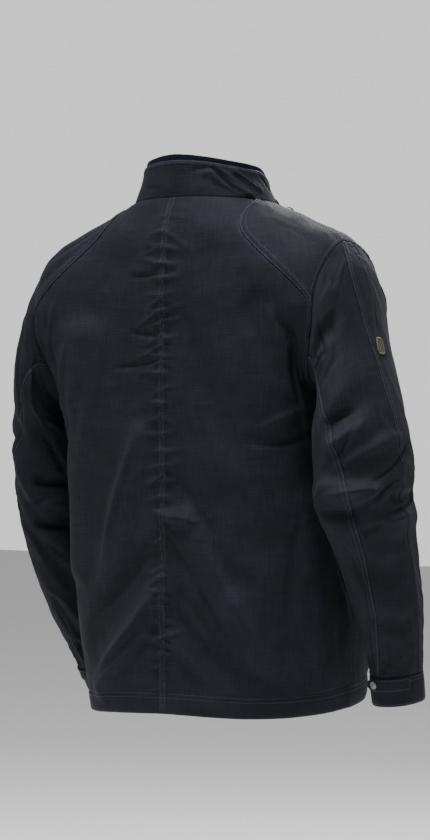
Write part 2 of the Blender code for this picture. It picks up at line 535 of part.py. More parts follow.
def sleeve_grid(side, first, last):
    along = np.concatenate([ring + np.arange(steps) / steps for ring, steps in enumerate(SLEEVE_STEPS)]
                           + [[len(SLEEVE_STEPS)]])[:, None]
    columns = np.arange(first, last + 1)[None, :]
    return sleeve(side, around_of(side, columns, along), along + 0 * columns)


def cuff_grid(side):
    seam = len(SLEEVES[side])
    columns = np.arange(LOOP_PIECES)[None, :]
    rows = np.array(CUFF_ROW_PARTS)[:, None]
    around = around_of(side, columns, np.array([[float(seam)]]))
    return sleeve(side, around + 0 * rows, seam + rows + 0 * columns)


def faces_between(left, right, points):
    """Triangles between two chains of vertex numbers. left may have more cells to each cell of right."""
    faces = []
    split = (len(left) - 1) // (len(right) - 1)
    for cell, (a, b) in enumerate(zip(right, right[1:])):
        run = left[cell * split:(cell + 1) * split + 1]
        turning = (split + 1) // 2
        if split == 1:
            to_first = np.linalg.norm(points[run[1]] - points[a])
            to_last = np.linalg.norm(points[run[0]] - points[b])
            turning = int(to_first < to_last)
        for step in range(split):
            faces.append((run[step], run[step + 1], a if step < turning else b))
        faces.append((run[turning], b, a))
    return faces


class Piece:
    """A cloth piece: chains of points on its outer face, one for each column, and its wall."""

    def __init__(self, name, chains, inside, closed=False, wall=WALL):
        self.name, self.closed, self.chains = name, closed, chains
        self.points = np.concatenate(chains)
        ends = np.cumsum([0] + [len(chain) for chain in chains])
        self.numbers = [list(range(start, end)) for start, end in zip(ends, ends[1:])]
        self.wall = np.broadcast_to(np.asarray(wall, float), len(self.points))
        self.faces = []
        rounds = self.numbers + self.numbers[:1] if closed else self.numbers
        for left, right in zip(rounds, rounds[1:]):
            self.faces += faces_between(left, right, self.points)
        self.normals = self.own_normals()
        if (self.normals * (self.points - inside)).sum() < 0:
            self.faces = [face[::-1] for face in self.faces]
            self.normals = -self.normals

    def own_normals(self):
        """Normals at the points: on an edge, only from the triangles along that edge."""
        corners = self.points[np.array(self.faces)]
        areas = np.cross(corners[:, 1] - corners[:, 0], corners[:, 2] - corners[:, 0])
        normals, along_rim = np.zeros_like(self.points), np.zeros_like(self.points)
        rims = set(self.rims())
        for (a, b, c), area in zip(self.faces, areas):
            normals[[a, b, c]] += area
            for pair in ((a, b), (b, c), (c, a)):
                if pair in rims:
                    along_rim[list(pair)] += unit(area)
        on_rim = np.any(along_rim != 0, axis=1)
        normals[on_rim] = along_rim[on_rim]
        return normals

    def rims(self):
        """Edges that only one triangle has, in that triangle's direction."""
        edges = {pair for a, b, c in self.faces for pair in ((a, b), (b, c), (c, a))}
        return [(a, b) for a, b in sorted(edges) if (b, a) not in edges]


def from_grid(name, grid, inside, **more):
    """A piece from a grid of points whose second index is the column."""
    return Piece(name, [grid[:, column] for column in range(grid.shape[1])], inside, **more)


def shared_normals(pieces):
    """Gives sewn pieces the same normal at each point that they share, so that their edges stay parallel."""
    sums = {}
    keys = [[tuple(key) for key in np.round(piece.points, 6)] for piece in pieces]
    for piece, its_keys in zip(pieces, keys):
        for key, normal in zip(its_keys, piece.normals):
            sums[key] = sums.get(key, 0) + unit(normal)
    for piece, its_keys in zip(pieces, keys):
        piece.normals = np.array([sums[key] for key in its_keys])


def material(name, colour, roughness, metallic=0.0):
    made = bpy.data.materials.new(name)
    made.use_nodes = True
    shader = made.node_tree.nodes["Principled BSDF"]
    shader.inputs["Base Color"].default_value = (*colour, 1)
    shader.inputs["Roughness"].default_value = roughness
    shader.inputs["Metallic"].default_value = metallic
    return made


def add_object(name, points, faces, finish, origin=(0, 0, 0)):
    mesh = bpy.data.meshes.new(name)
    mesh.from_pydata([tuple(point) for point in np.asarray(points) - origin], [], faces)
    mesh.materials.append(finish)
    mesh.shade_smooth()
    mesh.set_sharp_from_angle(angle=SHARP_FROM)
    made = bpy.data.objects.new(name, mesh)
    made.location = origin
    bpy.context.scene.collection.objects.link(made)
    return made


def drawn_in(piece, normals):
    """The piece's points with its edges moved into it, so that sewn pieces have a gap between them."""
    edges_at = {}
    for a, b in piece.rims():
        run = piece.points[b] - piece.points[a]
        for end in (a, b):
            edges_at.setdefault(end, []).append(unit(np.cross(normals[end], run)))
    moved = piece.points.copy()
    for end, (first, second) in edges_at.items():
        moved[end] += (first + second) * SEAM_GAP / 2 / max(1 + first @ second, LEAST_MITRE)
    return moved


def add_wall(piece, finish):
    """The piece as a closed wall: its outer face, its inner face and the strip round its edges."""
    normals = unit(piece.normals)
    outer = drawn_in(piece, normals)
    inner = outer - normals * piece.wall[:, None]
    count = len(outer)
    faces = list(piece.faces)
    faces += [(c + count, b + count, a + count) for a, b, c in piece.faces]
    for a, b in piece.rims():
        # Twisted edges of two sewn pieces stay parallel if both are split the same way
        if tuple(piece.points[a]) < tuple(piece.points[b]):
            faces += [(b, a, a + count), (b, a + count, b + count)]
        else:
            faces += [(b, a, b + count), (a, a + count, b + count)]
    return add_object(piece.name, np.concatenate([outer, inner]), faces, finish)


def hem_wall(chains):
    """The body's wall: the turned-up hem is thicker."""
    walls = []
    for chain in chains:
        turned_up = chain[:, 2] < chain[-1, 2] + HEM_TURN + HEM_EXTRA
        by_zip = (chain[:, 1] < 0) & (np.abs(chain[:, 0]) < ZIP_CLEAR)
        walls.append(np.where(turned_up & ~by_zip, WALL + HEM_EXTRA, WALL))
    return np.concatenate(walls)


def sewn_pieces():
    pieces = []
    for side, sign in (("left", 1), ("right", -1)):
        back = back_chains(sign)
        pieces.append(Piece(f"back_{side}", back, INSIDE_BODY, wall=hem_wall(back)))
        front = front_grid(sign)
        front_wall = hem_wall([front[:, column] for column in range(front.shape[1])])
        pieces.append(from_grid(f"front_{side}", front, INSIDE_BODY, wall=front_wall))
        pieces.append(from_grid(f"yoke_{side}", yoke_grid(sign), INSIDE_BODY))
        axis = sleeve_grid(side, 0, LOOP_PIECES - 1).mean(axis=1)
        for name, first, last in (("strip", STRIP_FRONT - LOOP_PIECES, STRIP_BACK),
                                  ("back", STRIP_BACK, ELBOW_SEAM),
                                  ("under", ELBOW_SEAM, STRIP_FRONT)):
            middles = np.tile(axis, (last - first + 1, 1))
            pieces.append(from_grid(f"sleeve_{name}_{side}", sleeve_grid(side, first, last), middles))
        cuff = cuff_grid(side)
        middles = np.tile(cuff.mean(axis=1), (LOOP_PIECES, 1))
        pieces.append(from_grid(f"cuff_{side}", cuff, middles, closed=True))
    pieces.append(from_grid("collar_outer", collar(*collar_places(COLLAR_ROWS)), INSIDE_BODY))
    return pieces


def collar_places(rows):
    """turn and rise of the collar's points. Its front edges lean apart towards the top."""
    turns = neck_turns()
    rises = np.linspace(0, 1, rows + 1)[:, None]
    turns = turns[np.abs(turns) <= COLLAR_END_LOW]
    closing = 1 - (1 - COLLAR_END_TOP / COLLAR_END_LOW) * rises * np.abs(turns) ** 6
    return turns * closing, rises


def inner_collar():
    """The collar's second layer, inside the first and standing above it."""
    turns, rises = collar_places(INNER_COLLAR_ROWS)
    insets = WALL + LAYER_GAP + rises * (INNER_COLLAR_INSET - WALL - LAYER_GAP)
    started = INNER_COLLAR_START + rises * (1 - INNER_COLLAR_START)
    grid = collar_smooth(turns, started) - collar_outward(turns, started) * insets[..., None]
    top = grid[-1:] + [0, 0, INNER_COLLAR_MORE]
    return from_grid("collar_inner", np.concatenate([grid, top]), INSIDE_BODY)


def cuff_tab(cuff, side):
    """A pointed tab lying on the cuff, from the cuff's own points, its tip standing off a little."""
    first, last = CUFF_TAB_COLUMNS
    normals = unit(cuff.normals)
    chains = []
    for column in range(first, last + 1):
        picked = cuff.numbers[column][1:-1]
        part = (column - first) / (last - first)
        lift = LAYER_GAP + TAB_WALL + CUFF_TAB_LIFT * part**4
        chain = cuff.points[picked] + normals[picked] * lift
        if column == last:
            middle = chain[len(chain) // 2]
            chain = middle + (chain - middle) * CUFF_TAB_TIP
        chains.append(chain)
    middles = np.tile(cuff.points.mean(axis=0), (sum(len(chain) for chain in chains), 1))
    return Piece(f"cuff_tab_{side}", chains, middles, wall=TAB_WALL)


def add_snap(cuff, side):
    """A metal snap head on the tab, on the cuff's middle row."""
    low = int(SNAP_COLUMN)
    middle_row = len(CUFF_ROW_PARTS) // 2
    near = [cuff.numbers[low][middle_row], cuff.numbers[low + 1][middle_row]]
    part = SNAP_COLUMN - low
    normal = unit(unit(cuff.normals[near]).T @ [1 - part, part])
    first, last = CUFF_TAB_COLUMNS
    lift = 2 * LAYER_GAP + TAB_WALL + CUFF_TAB_LIFT * ((SNAP_COLUMN - first) / (last - first)) ** 4
    centre = cuff.points[near].T @ [1 - part, part] + normal * (lift + SNAP_SINK_ROOM + SNAP_HEIGHT / 2)
    bpy.ops.mesh.primitive_cylinder_add(
        vertices=SNAP_SIDES, radius=SNAP_RADIUS, depth=SNAP_HEIGHT, location=centre)
    snap = bpy.context.object
    snap.name = f"cuff_snap_{side}"
    snap.rotation_euler = Vector(normal).to_track_quat("Z", "Y").to_euler()
    snap.data.materials.append(material(snap.name, METAL, METAL_ROUGHNESS, 1.0))
    bevel = snap.modifiers.new("rounded edge", "BEVEL")
    bevel.width, bevel.segments = SNAP_BEVEL, 1
    snap.data.shade_smooth()
    snap.data.set_sharp_from_angle(angle=SHARP_FROM)


def sleeve_patch():
    """A plain patch with rounded corners over the strip's back seam."""
    count = 5
    across, down = np.meshgrid(np.linspace(-1, 1, count), np.linspace(-1, 1, count))
    corner = 1 - PATCH_CORNER * (np.abs(across * down)) ** 4
    around = PATCH_AROUND + across * corner * PATCH_WIDTH / 2 / PATCH_GIRTH
    along = PATCH_ALONG + down * corner * PATCH_HEIGHT / 2 / PATCH_RING_GAP
    grid = sleeve(PATCH_SIDE, around, along)
    axis = sleeve_smooth(PATCH_SIDE, np.linspace(0, 1, LOOP_PIECES), np.full(LOOP_PIECES, PATCH_ALONG))
    middle = axis.mean(axis=0)
    flat = from_grid("sleeve_patch", grid, middle, wall=PATCH_WALL)
    lifted = grid + unit(flat.normals).reshape(count, count, 3).swapaxes(0, 1) * (PATCH_GAP + PATCH_WALL)
    return from_grid("sleeve_patch", lifted, middle, wall=PATCH_WALL)


def throat_frame():
    """The place of the throat loop on the collar, and its outward and sideways directions."""
    start, turn = THROAT_TURNS
    place = collar(turn, THROAT_RISE)
    outward = unit(collar_outward(turn, THROAT_RISE) * [1, 1, 0])
    sideways = np.cross(outward, [0, 0, 1])
    ahead = (place - collar(start, THROAT_RISE)) @ sideways
    return place, outward, sideways * np.sign(ahead)


def throat_tab():
    """A narrow strap that lies on the collar, then stands out as a loop with an upright hole."""
    place, outward, sideways = throat_frame()
    start, turn = THROAT_TURNS
    radius = THROAT_HOLE / 2 + THROAT_WALL
    rows = []
    for height in (-THROAT_HALF_HEIGHT, 0, THROAT_HALF_HEIGHT):
        rise = THROAT_RISE + height / COLLAR_HEIGHT
        turns = np.linspace(start, turn, THROAT_COLUMNS)
        lying = collar(turns, rise) + collar_outward(turns, rise) * (LAYER_GAP + THROAT_WALL)
        bend = lying[-1] + outward * THROAT_BEND + sideways * THROAT_BEND / 4
        level = np.array([place[0], place[1], bend[2]])
        across = (bend - level) @ sideways
        row = list(lying) + [bend]
        for angle in np.linspace(0, pi, THROAT_LOOP_POINTS):
            out = THROAT_REACH - radius + radius * sin(angle)
            row.append(level + outward * out + sideways * (across + radius * (1 - cos(angle))))
        row.append(bend + sideways * 2 * radius)
        rows.append(row)
    hole = level + outward * RING_AXIS_OUT + sideways * (across + radius)
    hole[2] = place[2]
    return from_grid("throat_tab", np.array(rows), hole, wall=THROAT_WALL), hole


def add_ring(axis_point):
    """The metal ring, whose wire passes upright through the loop's hole. Its origin is on that wire."""
    _, outward, _ = throat_frame()
    points, faces = [], []
    for segment in range(RING_SEGMENTS):
        turn = tau * segment / RING_SEGMENTS
        spoke = outward * cos(turn) + np.array([0, 0, sin(turn)])
        side = np.cross(outward, [0, 0, 1])
        for piece in range(WIRE_SEGMENTS):
            angle = tau * piece / WIRE_SEGMENTS
            centre = axis_point + outward * RING_RADIUS + spoke * RING_RADIUS
            points.append(centre + RING_WIRE * (spoke * cos(angle) + side * sin(angle)))
            after, beside = (segment + 1) % RING_SEGMENTS, (piece + 1) % WIRE_SEGMENTS
            faces.append((segment * WIRE_SEGMENTS + piece, segment * WIRE_SEGMENTS + beside,
                          after * WIRE_SEGMENTS + beside, after * WIRE_SEGMENTS + piece))
    finish = material("throat_ring", METAL, METAL_ROUGHNESS, 1.0)
    add_object("throat_ring", points, facing_out(points, faces), finish, axis_point)


def facing_out(points, faces):
    """The closed mesh's faces, turned so that its volume is positive."""
    points = np.asarray(points)
    volume = 0.0
    for face in faces:
        for second, third in zip(face[1:], face[2:]):
            volume += points[face[0]] @ np.cross(points[second], points[third])
    return faces if volume > 0 else [face[::-1] for face in faces]


def zip_levels():
    """Levels of the rows of the front's edge, from the tape's start to the zip's end."""
    count = YOKE_ROWS + FRONT_JUNCTION - LOOP_PIECES // 2 + BODY_ROWS
    levels = even_levels(count, *FRONT_DROP_AND_REACH)
    lowest = body(1.0, HEM_LEVEL)[2] + ZIP_END
    fine = np.linspace(0, HEM_LEVEL, 1001)
    last = np.interp(-lowest, -body(np.ones(len(fine)), fine)[:, 2], fine)
    return np.concatenate([[TAPE_START], levels[(levels > TAPE_START + 0.1) & (levels < last - 0.1)], [last]])


def front_outward(turns, levels):
    normals = surface_normal(body_smooth, turns, levels)
    return normals * -np.sign(normals[..., 1:2])


def zip_pieces():
    levels = zip_levels()
    girth = spline(BODY_SCALE, levels)[:, 0]
    pieces = []
    for side, sign in (("left", 1), ("right", -1)):
        turns = sign * (1 - np.stack([np.full(len(levels), TAPE_INNER), np.full(len(levels), TAPE_OUTER)], 1)
                        / girth[:, None])
        rows = levels[:, None] + 0 * turns
        grid = body(turns, rows) - front_outward(turns, rows) * (WALL + ZIP_BEHIND)
        pieces.append(from_grid(f"zip_tape_{side}", grid, INSIDE_BODY, wall=ZIP_WALL))
    below = np.concatenate([[SLIDER_LEVEL], levels[levels > SLIDER_LEVEL + 0.1]])
    middle = body(np.ones(len(below)), below) - front_outward(np.ones(len(below)), below) * CHAIN_DEPTH
    grid = middle[:, None] + np.array([[-CHAIN_HALF, 0, 0], [CHAIN_HALF, 0, 0]])
    pieces.append(from_grid("zip_chain", grid, INSIDE_BODY, wall=CHAIN_WALL))
    return pieces


def slider_frame():
    """The slider's place on the cloth, and the directions sideways, down the chain and outward."""
    place = body(1.0, SLIDER_LEVEL) * [0, 1, 1]
    down = unit((body_smooth(1.0, SLIDER_LEVEL + 0.05) - place) * [0, 1, 1])
    sideways = np.array([1.0, 0, 0])
    outward = np.cross(sideways, down)
    return place, sideways, down, outward * -np.sign(outward[1])


def bored_block(low, high, hole_low, hole_high, across_hole):
    """A block with a rectangular hole right through it: corners given along the three directions of the
    slider's frame. across_hole is the direction, 0 to 2, in which the hole runs."""
    place, *directions = slider_frame()
    first, second = [axis for axis in range(3) if axis != across_hole]
    points, faces = [], []
    for end in (low[across_hole], high[across_hole]):
        for a, b in ((low, high), (hole_low, hole_high)):
            for u, v in ((a, a), (b, a), (b, b), (a, b)):
                corner = [0.0, 0.0, 0.0]
                corner[across_hole], corner[first], corner[second] = end, u[first], v[second]
                points.append(place + sum(size * line for size, line in zip(corner, directions)))
    for corner in range(4):
        after = (corner + 1) % 4
        faces += [(corner, after, after + 8, corner + 8), (corner + 4, corner + 12, after + 12, after + 4),
                  (corner, corner + 4, after + 4, after), (corner + 8, after + 8, after + 12, corner + 12)]
    return points, facing_out(points, faces)


def block(low, high):
    place, *directions = slider_frame()
    points = [place + x * directions[0] + y * directions[1] + z * directions[2]
              for x in (low[0], high[0]) for y in (low[1], high[1]) for z in (low[2], high[2])]
    faces = [(0, 1, 3, 2), (4, 6, 7, 5), (0, 4, 5, 1), (2, 3, 7, 6), (0, 2, 6, 4), (1, 5, 7, 3)]
    return points, facing_out(points, faces)


def add_slider_and_pull():
    """The slider is a plate with a bridge across it. The pull's top bar lies under that bridge."""
    plate = block((-SLIDER_HALF_WIDTH, -SLIDER_HALF_LENGTH, SLIDER_BACK),
                  (SLIDER_HALF_WIDTH, SLIDER_HALF_LENGTH, SLIDER_FACE))
    bridge = bored_block((-BRIDGE_HALF_WIDTH, -BRIDGE_HALF_LENGTH, SLIDER_BACK / 2),
                         (BRIDGE_HALF_WIDTH, BRIDGE_HALF_LENGTH, BRIDGE_TOP),
                         (0, -BRIDGE_HOLE_HALF, SLIDER_FACE), (0, BRIDGE_HOLE_HALF, BRIDGE_HOLE_TOP), 0)
    finish = material("zip_slider", METAL, METAL_ROUGHNESS, 1.0)
    slider = add_object("zip_slider", *plate, finish)
    joined = add_object("slider bridge", *bridge, finish)
    joined.hide_render = True
    joined.display_type = "WIRE"
    union = slider.modifiers.new("bridge", "BOOLEAN")
    union.operation, union.object = "UNION", joined
    place, _, _, outward = slider_frame()
    bar = (SLIDER_FACE + BRIDGE_HOLE_TOP) / 2
    pull = bored_block((-PULL_HALF_WIDTH, -PULL_HALF_WALL, bar - PULL_HALF_WALL),
                       (PULL_HALF_WIDTH, PULL_LENGTH, bar + PULL_HALF_WALL),
                       (-PULL_HOLE_HALF, PULL_HALF_WALL, 0), (PULL_HOLE_HALF, PULL_HOLE_LENGTH, 0), 2)
    finish = material("zip_pull", METAL, METAL_ROUGHNESS, 1.0)
    add_object("zip_pull", *pull, finish, place + outward * bar)


def main():
    for old in list(bpy.data.objects):
        bpy.data.objects.remove(old)
    pieces = sewn_pieces()
    shared_normals(pieces)
    for piece in pieces:
        add_wall(piece, material(piece.name, NAVY, CLOTH_ROUGHNESS))
    cuffs = {piece.name: piece for piece in pieces}
    for side in ("left", "right"):
        cuff = cuffs[f"cuff_{side}"]
        tab = cuff_tab(cuff, side)
        add_wall(tab, material(tab.name, NAVY, CLOTH_ROUGHNESS))
        add_snap(cuff, side)
    loop, axis_point = throat_tab()
    layers = [(inner_collar(), INNER_NAVY), (loop, NAVY), (sleeve_patch(), OLIVE)]
    layers += [(piece, TAPE_COLOUR) for piece in zip_pieces()]
    for piece, colour in layers:
        add_wall(piece, material(piece.name, colour, CLOTH_ROUGHNESS))
    add_ring(axis_point)
    add_slider_and_pull()


main()
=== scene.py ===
"""Rain jacket in dry waxed cotton, hollow, in the pose in which it is worn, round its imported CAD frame.

Metres, +Z up, front towards -Y, the wearer's left towards +X. Run as a script: it is laid out as an add-on
whose operators each make one kind of piece.
"""

from collections import namedtuple
from math import cos, pi, radians, sin, tan, tau

import bpy
import numpy as np
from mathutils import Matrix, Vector


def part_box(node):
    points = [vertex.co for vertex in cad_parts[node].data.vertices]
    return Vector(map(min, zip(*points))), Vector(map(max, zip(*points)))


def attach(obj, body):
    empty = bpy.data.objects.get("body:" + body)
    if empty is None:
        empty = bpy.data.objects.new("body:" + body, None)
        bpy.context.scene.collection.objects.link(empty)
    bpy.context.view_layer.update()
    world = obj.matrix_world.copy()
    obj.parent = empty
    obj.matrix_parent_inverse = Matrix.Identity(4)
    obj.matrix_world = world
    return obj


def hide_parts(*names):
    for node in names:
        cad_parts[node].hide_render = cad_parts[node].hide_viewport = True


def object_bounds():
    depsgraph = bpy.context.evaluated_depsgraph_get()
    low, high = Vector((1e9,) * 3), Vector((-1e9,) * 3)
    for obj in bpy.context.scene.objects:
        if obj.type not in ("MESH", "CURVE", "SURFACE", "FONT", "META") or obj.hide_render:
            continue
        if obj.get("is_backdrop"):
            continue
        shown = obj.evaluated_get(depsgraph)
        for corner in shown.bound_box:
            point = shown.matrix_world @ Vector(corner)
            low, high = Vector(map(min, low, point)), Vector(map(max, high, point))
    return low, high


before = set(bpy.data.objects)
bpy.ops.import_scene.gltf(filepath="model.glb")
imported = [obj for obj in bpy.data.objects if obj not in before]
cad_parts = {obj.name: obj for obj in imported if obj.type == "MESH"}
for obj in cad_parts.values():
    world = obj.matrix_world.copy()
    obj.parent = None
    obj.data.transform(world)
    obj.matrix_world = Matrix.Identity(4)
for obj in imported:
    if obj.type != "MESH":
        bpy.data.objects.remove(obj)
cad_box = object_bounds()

bl_info = {
    "name": "Rain jacket",
    "version": (1, 0, 0),
    "blender": (4, 5, 0),
    "location": "3D View > Sidebar > Rain jacket",
    "description": "Makes a waxed cotton rain jacket piece by piece",
    "category": "Add Mesh",
}

MM = 0.001

# ---- The body's form. turn runs round the body from 0 at the centre back to 1 at the centre front, and is
# positive on the wearer's left. level is a row number of BODY_RINGS, counted from 0, with fractions.
Ring = namedtuple("Ring", "name side_drop back_drop front_drop half_width middle back front"
                          " square_back square_front")
BODY_RINGS = (
    Ring("neck seam", 0.004, 0.000, 0.060, 0.100, -0.005, 0.077, -0.110, 2.5, 2.3),
    Ring("neck slope", 0.019, 0.022, 0.080, 0.138, -0.004, 0.086, -0.130, 2.4, 2.2),
    Ring("mid shoulder", 0.036, 0.048, 0.104, 0.178, -0.002, 0.094, -0.147, 2.8, 2.2),
    Ring("shoulder point", 0.056, 0.080, 0.130, 0.220, 0.000, 0.098, -0.160, 3.5, 2.3),
    Ring("shoulder round", 0.090, 0.118, 0.160, 0.243, 0.000, 0.102, -0.170, 5.0, 2.5),
    Ring("back armhole", 0.160, 0.175, 0.205, 0.252, -0.004, 0.103, -0.180, 6.0, 2.6),
    Ring("underarm", 0.250, 0.250, 0.262, 0.215, -0.020, 0.103, -0.188, 5.0, 2.6),
    Ring("chest", 0.315, 0.315, 0.320, 0.204, -0.034, 0.102, -0.193, 4.2, 2.5),
    Ring("waist", 0.420, 0.420, 0.420, 0.206, -0.046, 0.100, -0.199, 3.4, 2.4),
    Ring("hip", 0.550, 0.550, 0.545, 0.211, -0.051, 0.100, -0.204, 2.8, 2.3),
    Ring("hem", 0.692, 0.694, 0.680, 0.200, -0.055, 0.100, -0.210, 2.2, 2.2),
)
HEM_HANG = (0.000, -0.012, -0.002, 0.006, 0.004, 0.014, 0.023, 0.010, 0.000)  # at nine even turns, -1 to 1
HEM_LEVEL = len(BODY_RINGS) - 1
SIDE_SEAM = 0.5
ZIP_HALF_GAP = 0.005  # from the centre front to each front's edge

# Armhole: a loop on the body, counted round as the sleeve is: 0 at the shoulder, then back, underarm, front
LOOP_PIECES = 24
LOOP_LEVEL, LOOP_HALF = 4.85, 1.55
LOOP_BACK_REACH, LOOP_FRONT_REACH = 0.240, 0.180
LOOP_TOP_POINT, LOOP_FOOT_SQUARE = 1.4, 0.8
BACK_JUNCTION, FRONT_JUNCTION = 6, 21  # where the yoke's seams meet the armhole
UNDERARM = 12

# Yoke seams from the neck to the armhole, before their last point, which is the junction
SeamPoint = namedtuple("SeamPoint", "turn level")
YOKE_BACK = (SeamPoint(0.400, 0.0), SeamPoint(0.265, 1.00), SeamPoint(0.195, 2.20), SeamPoint(0.205, 3.60))
YOKE_FRONT = (SeamPoint(0.585, 0.0), SeamPoint(0.620, 1.20), SeamPoint(0.640, 2.50))

# Sleeves: the rings after the armhole. strip and elbow are the places round the ring of the outer strip's
# back edge and of the elbow seam.
SleeveRing = namedtuple("SleeveRing", "name x y z half_width half_depth lean pitch strip elbow")
SLEEVES = {
    "right": (
        SleeveRing("cap", 0.2400, 0.008, -0.1925, 0.0890, 0.088, 80, 0, 0.045, 0.315),
        SleeveRing("upper", 0.2530, 0.015, -0.243, 0.0630, 0.085, 67, 0, 0.025, 0.285),
        SleeveRing("biceps", 0.2695, 0.034, -0.303, 0.0520, 0.084, 20, 0, 0.000, 0.238),
        SleeveRing("above elbow", 0.2780, 0.0335, -0.365, 0.0560, 0.088, 6, 2, -0.010, 0.195),
        SleeveRing("elbow", 0.2820, 0.040, -0.405, 0.0560, 0.082, 3, 8, -0.010, 0.175),
        SleeveRing("below elbow", 0.2840, 0.0125, -0.4675, 0.0470, 0.069, 0, 14, -0.010, 0.178),
        SleeveRing("forearm", 0.2840, -0.0176, -0.548, 0.0410, 0.058, 0, 14, -0.010, 0.196),
        SleeveRing("wrist", 0.2825, -0.036, -0.607, 0.0340, 0.047, 0, 10, -0.010, 0.235),
        SleeveRing("cuff seam", 0.2810, -0.043, -0.637, 0.0325, 0.044, 0, 6, -0.010, 0.260),
    ),
    "left": (
        SleeveRing("cap", 0.2410, 0.008, -0.1925, 0.0890, 0.088, 80, 0, 0.045, 0.315),
        SleeveRing("upper", 0.2530, 0.014, -0.243, 0.0630, 0.085, 67, 0, 0.025, 0.285),
        SleeveRing("biceps", 0.2680, -0.011, -0.304, 0.0520, 0.084, 20, 4, 0.000, 0.238),
        SleeveRing("above elbow", 0.2745, -0.029, -0.365, 0.0560, 0.086, 8, 8, -0.010, 0.195),
        SleeveRing("elbow", 0.2780, -0.037, -0.414, 0.0555, 0.083, 3, 12, -0.010, 0.175),
        SleeveRing("below elbow", 0.2770, -0.040, -0.470, 0.0470, 0.070, 0, 18, -0.010, 0.178),
        SleeveRing("forearm", 0.2720, -0.064, -0.550, 0.0410, 0.057, -3, 24, -0.010, 0.196),
        SleeveRing("wrist", 0.2660, -0.088, -0.610, 0.0340, 0.047, -5, 28, -0.010, 0.235),
        SleeveRing("cuff seam", 0.2620, -0.107, -0.646, 0.0325, 0.044, -6, 28, -0.010, 0.260),
    ),
}
SIDES = (("left", 1), ("right", -1))
SLEEVE_RINGS = len(SLEEVES["left"])
CUFF_HEIGHT = 0.040
STRIP_BACK, ELBOW_SEAM, STRIP_FRONT = 1, 8, 23  # columns of the armhole loop where these seams start

# Collar: rings above the neck seam, with negative drops
COLLAR_RINGS = (
    Ring("stand low", -0.010, -0.014, 0.046, 0.093, -0.002, 0.077, -0.104, 2.4, 2.3),
    Ring("stand middle", -0.024, -0.032, 0.026, 0.087, 0.000, 0.076, -0.097, 2.3, 2.2),
    Ring("stand top", -0.038, -0.050, 0.006, 0.083, 0.002, 0.076, -0.092, 2.2, 2.2),
)
COLLAR_END_LOW, COLLAR_END_TOP = 0.985, 0.930
INNER_COLLAR_MORE, INNER_COLLAR_INSET = 0.008, 0.0032  # how much higher it stands, and its inset at the top

# ---- Folds, pressed in or out along the cloth's normal by depth, from one place to another. bow bends the
# fold sideways at its middle, width is from its line to where it fades out. These are the solids' folds.
Fold = namedtuple("Fold", "turn_a level_a turn_b level_b width depth bow")
BODY_FOLDS = (
    Fold(0.160, 5.20, 0.250, 8.60, 0.037, 0.010, 0.004),
    Fold(0.055, 7.05, 0.140, 8.70, 0.028, 0.006, 0),
    Fold(0.000, 8.80, 0.190, 9.75, 0.030, 0.007, -0.006),
    Fold(0.030, 8.50, 0.200, 9.38, 0.030, -0.006, -0.004),
    Fold(-0.010, 8.08, -0.065, 8.07, 0.020, 0.005, 0),
    Fold(-0.065, 8.07, -0.225, 9.45, 0.032, 0.007, 0),
    Fold(-0.040, 7.65, -0.150, 8.75, 0.030, -0.006, 0),
    Fold(-0.010, 8.80, -0.185, 9.62, 0.028, -0.006, 0.004),
    Fold(-0.030, 9.15, -0.150, 9.66, 0.020, -0.004, 0),
    Fold(-0.040, 4.97, -0.135, 7.00, 0.050, -0.005, 0),
    Fold(-0.180, 4.65, -0.250, 5.85, 0.028, -0.005, 0),
    Fold(-0.232, 5.12, -0.310, 6.00, 0.026, -0.009, 0),
    Fold(-0.210, 7.10, -0.330, 7.05, 0.018, -0.004, 0.003),
    Fold(-0.330, 8.00, -0.380, 9.70, 0.045, 0.005, 0),
    Fold(0.240, 6.80, 0.330, 7.60, 0.030, -0.005, 0),
    Fold(0.400, 7.20, 0.420, 9.50, 0.045, 0.005, 0),
    Fold(0.620, 6.30, 0.740, 8.00, 0.040, 0.006, 0),
    Fold(-0.615, 6.20, -0.750, 7.80, 0.040, 0.006, 0),
    Fold(0.700, 8.20, 0.840, 9.50, 0.035, -0.006, 0.004),
    Fold(-0.680, 8.00, -0.820, 9.40, 0.035, -0.006, 0.004),
    Fold(0.600, 8.60, 0.660, 9.70, 0.030, 0.005, 0),
    Fold(-0.580, 8.50, -0.640, 9.60, 0.030, 0.005, 0),
    Fold(0.800, 3.20, 0.690, 4.50, 0.030, 0.004, 0),
    Fold(-0.790, 3.00, -0.690, 4.40, 0.030, 0.004, 0),
    Fold(0.880, 7.00, 0.720, 7.50, 0.024, 0.004, 0.004),
    Fold(-0.860, 7.30, -0.700, 7.70, 0.024, 0.004, 0.004),
)
INNER_ELBOW_FOLDS = (
    Fold(0.560, 2.60, 0.700, 3.00, 0.020, -0.006, 0),
    Fold(0.520, 3.60, 0.720, 3.90, 0.020, -0.007, 0),
    Fold(0.540, 4.85, 0.750, 4.70, 0.022, -0.010, 0),
    Fold(0.500, 5.60, 0.680, 5.80, 0.020, -0.006, 0),
    Fold(0.560, 7.00, 0.730, 7.20, 0.018, -0.004, 0),
)
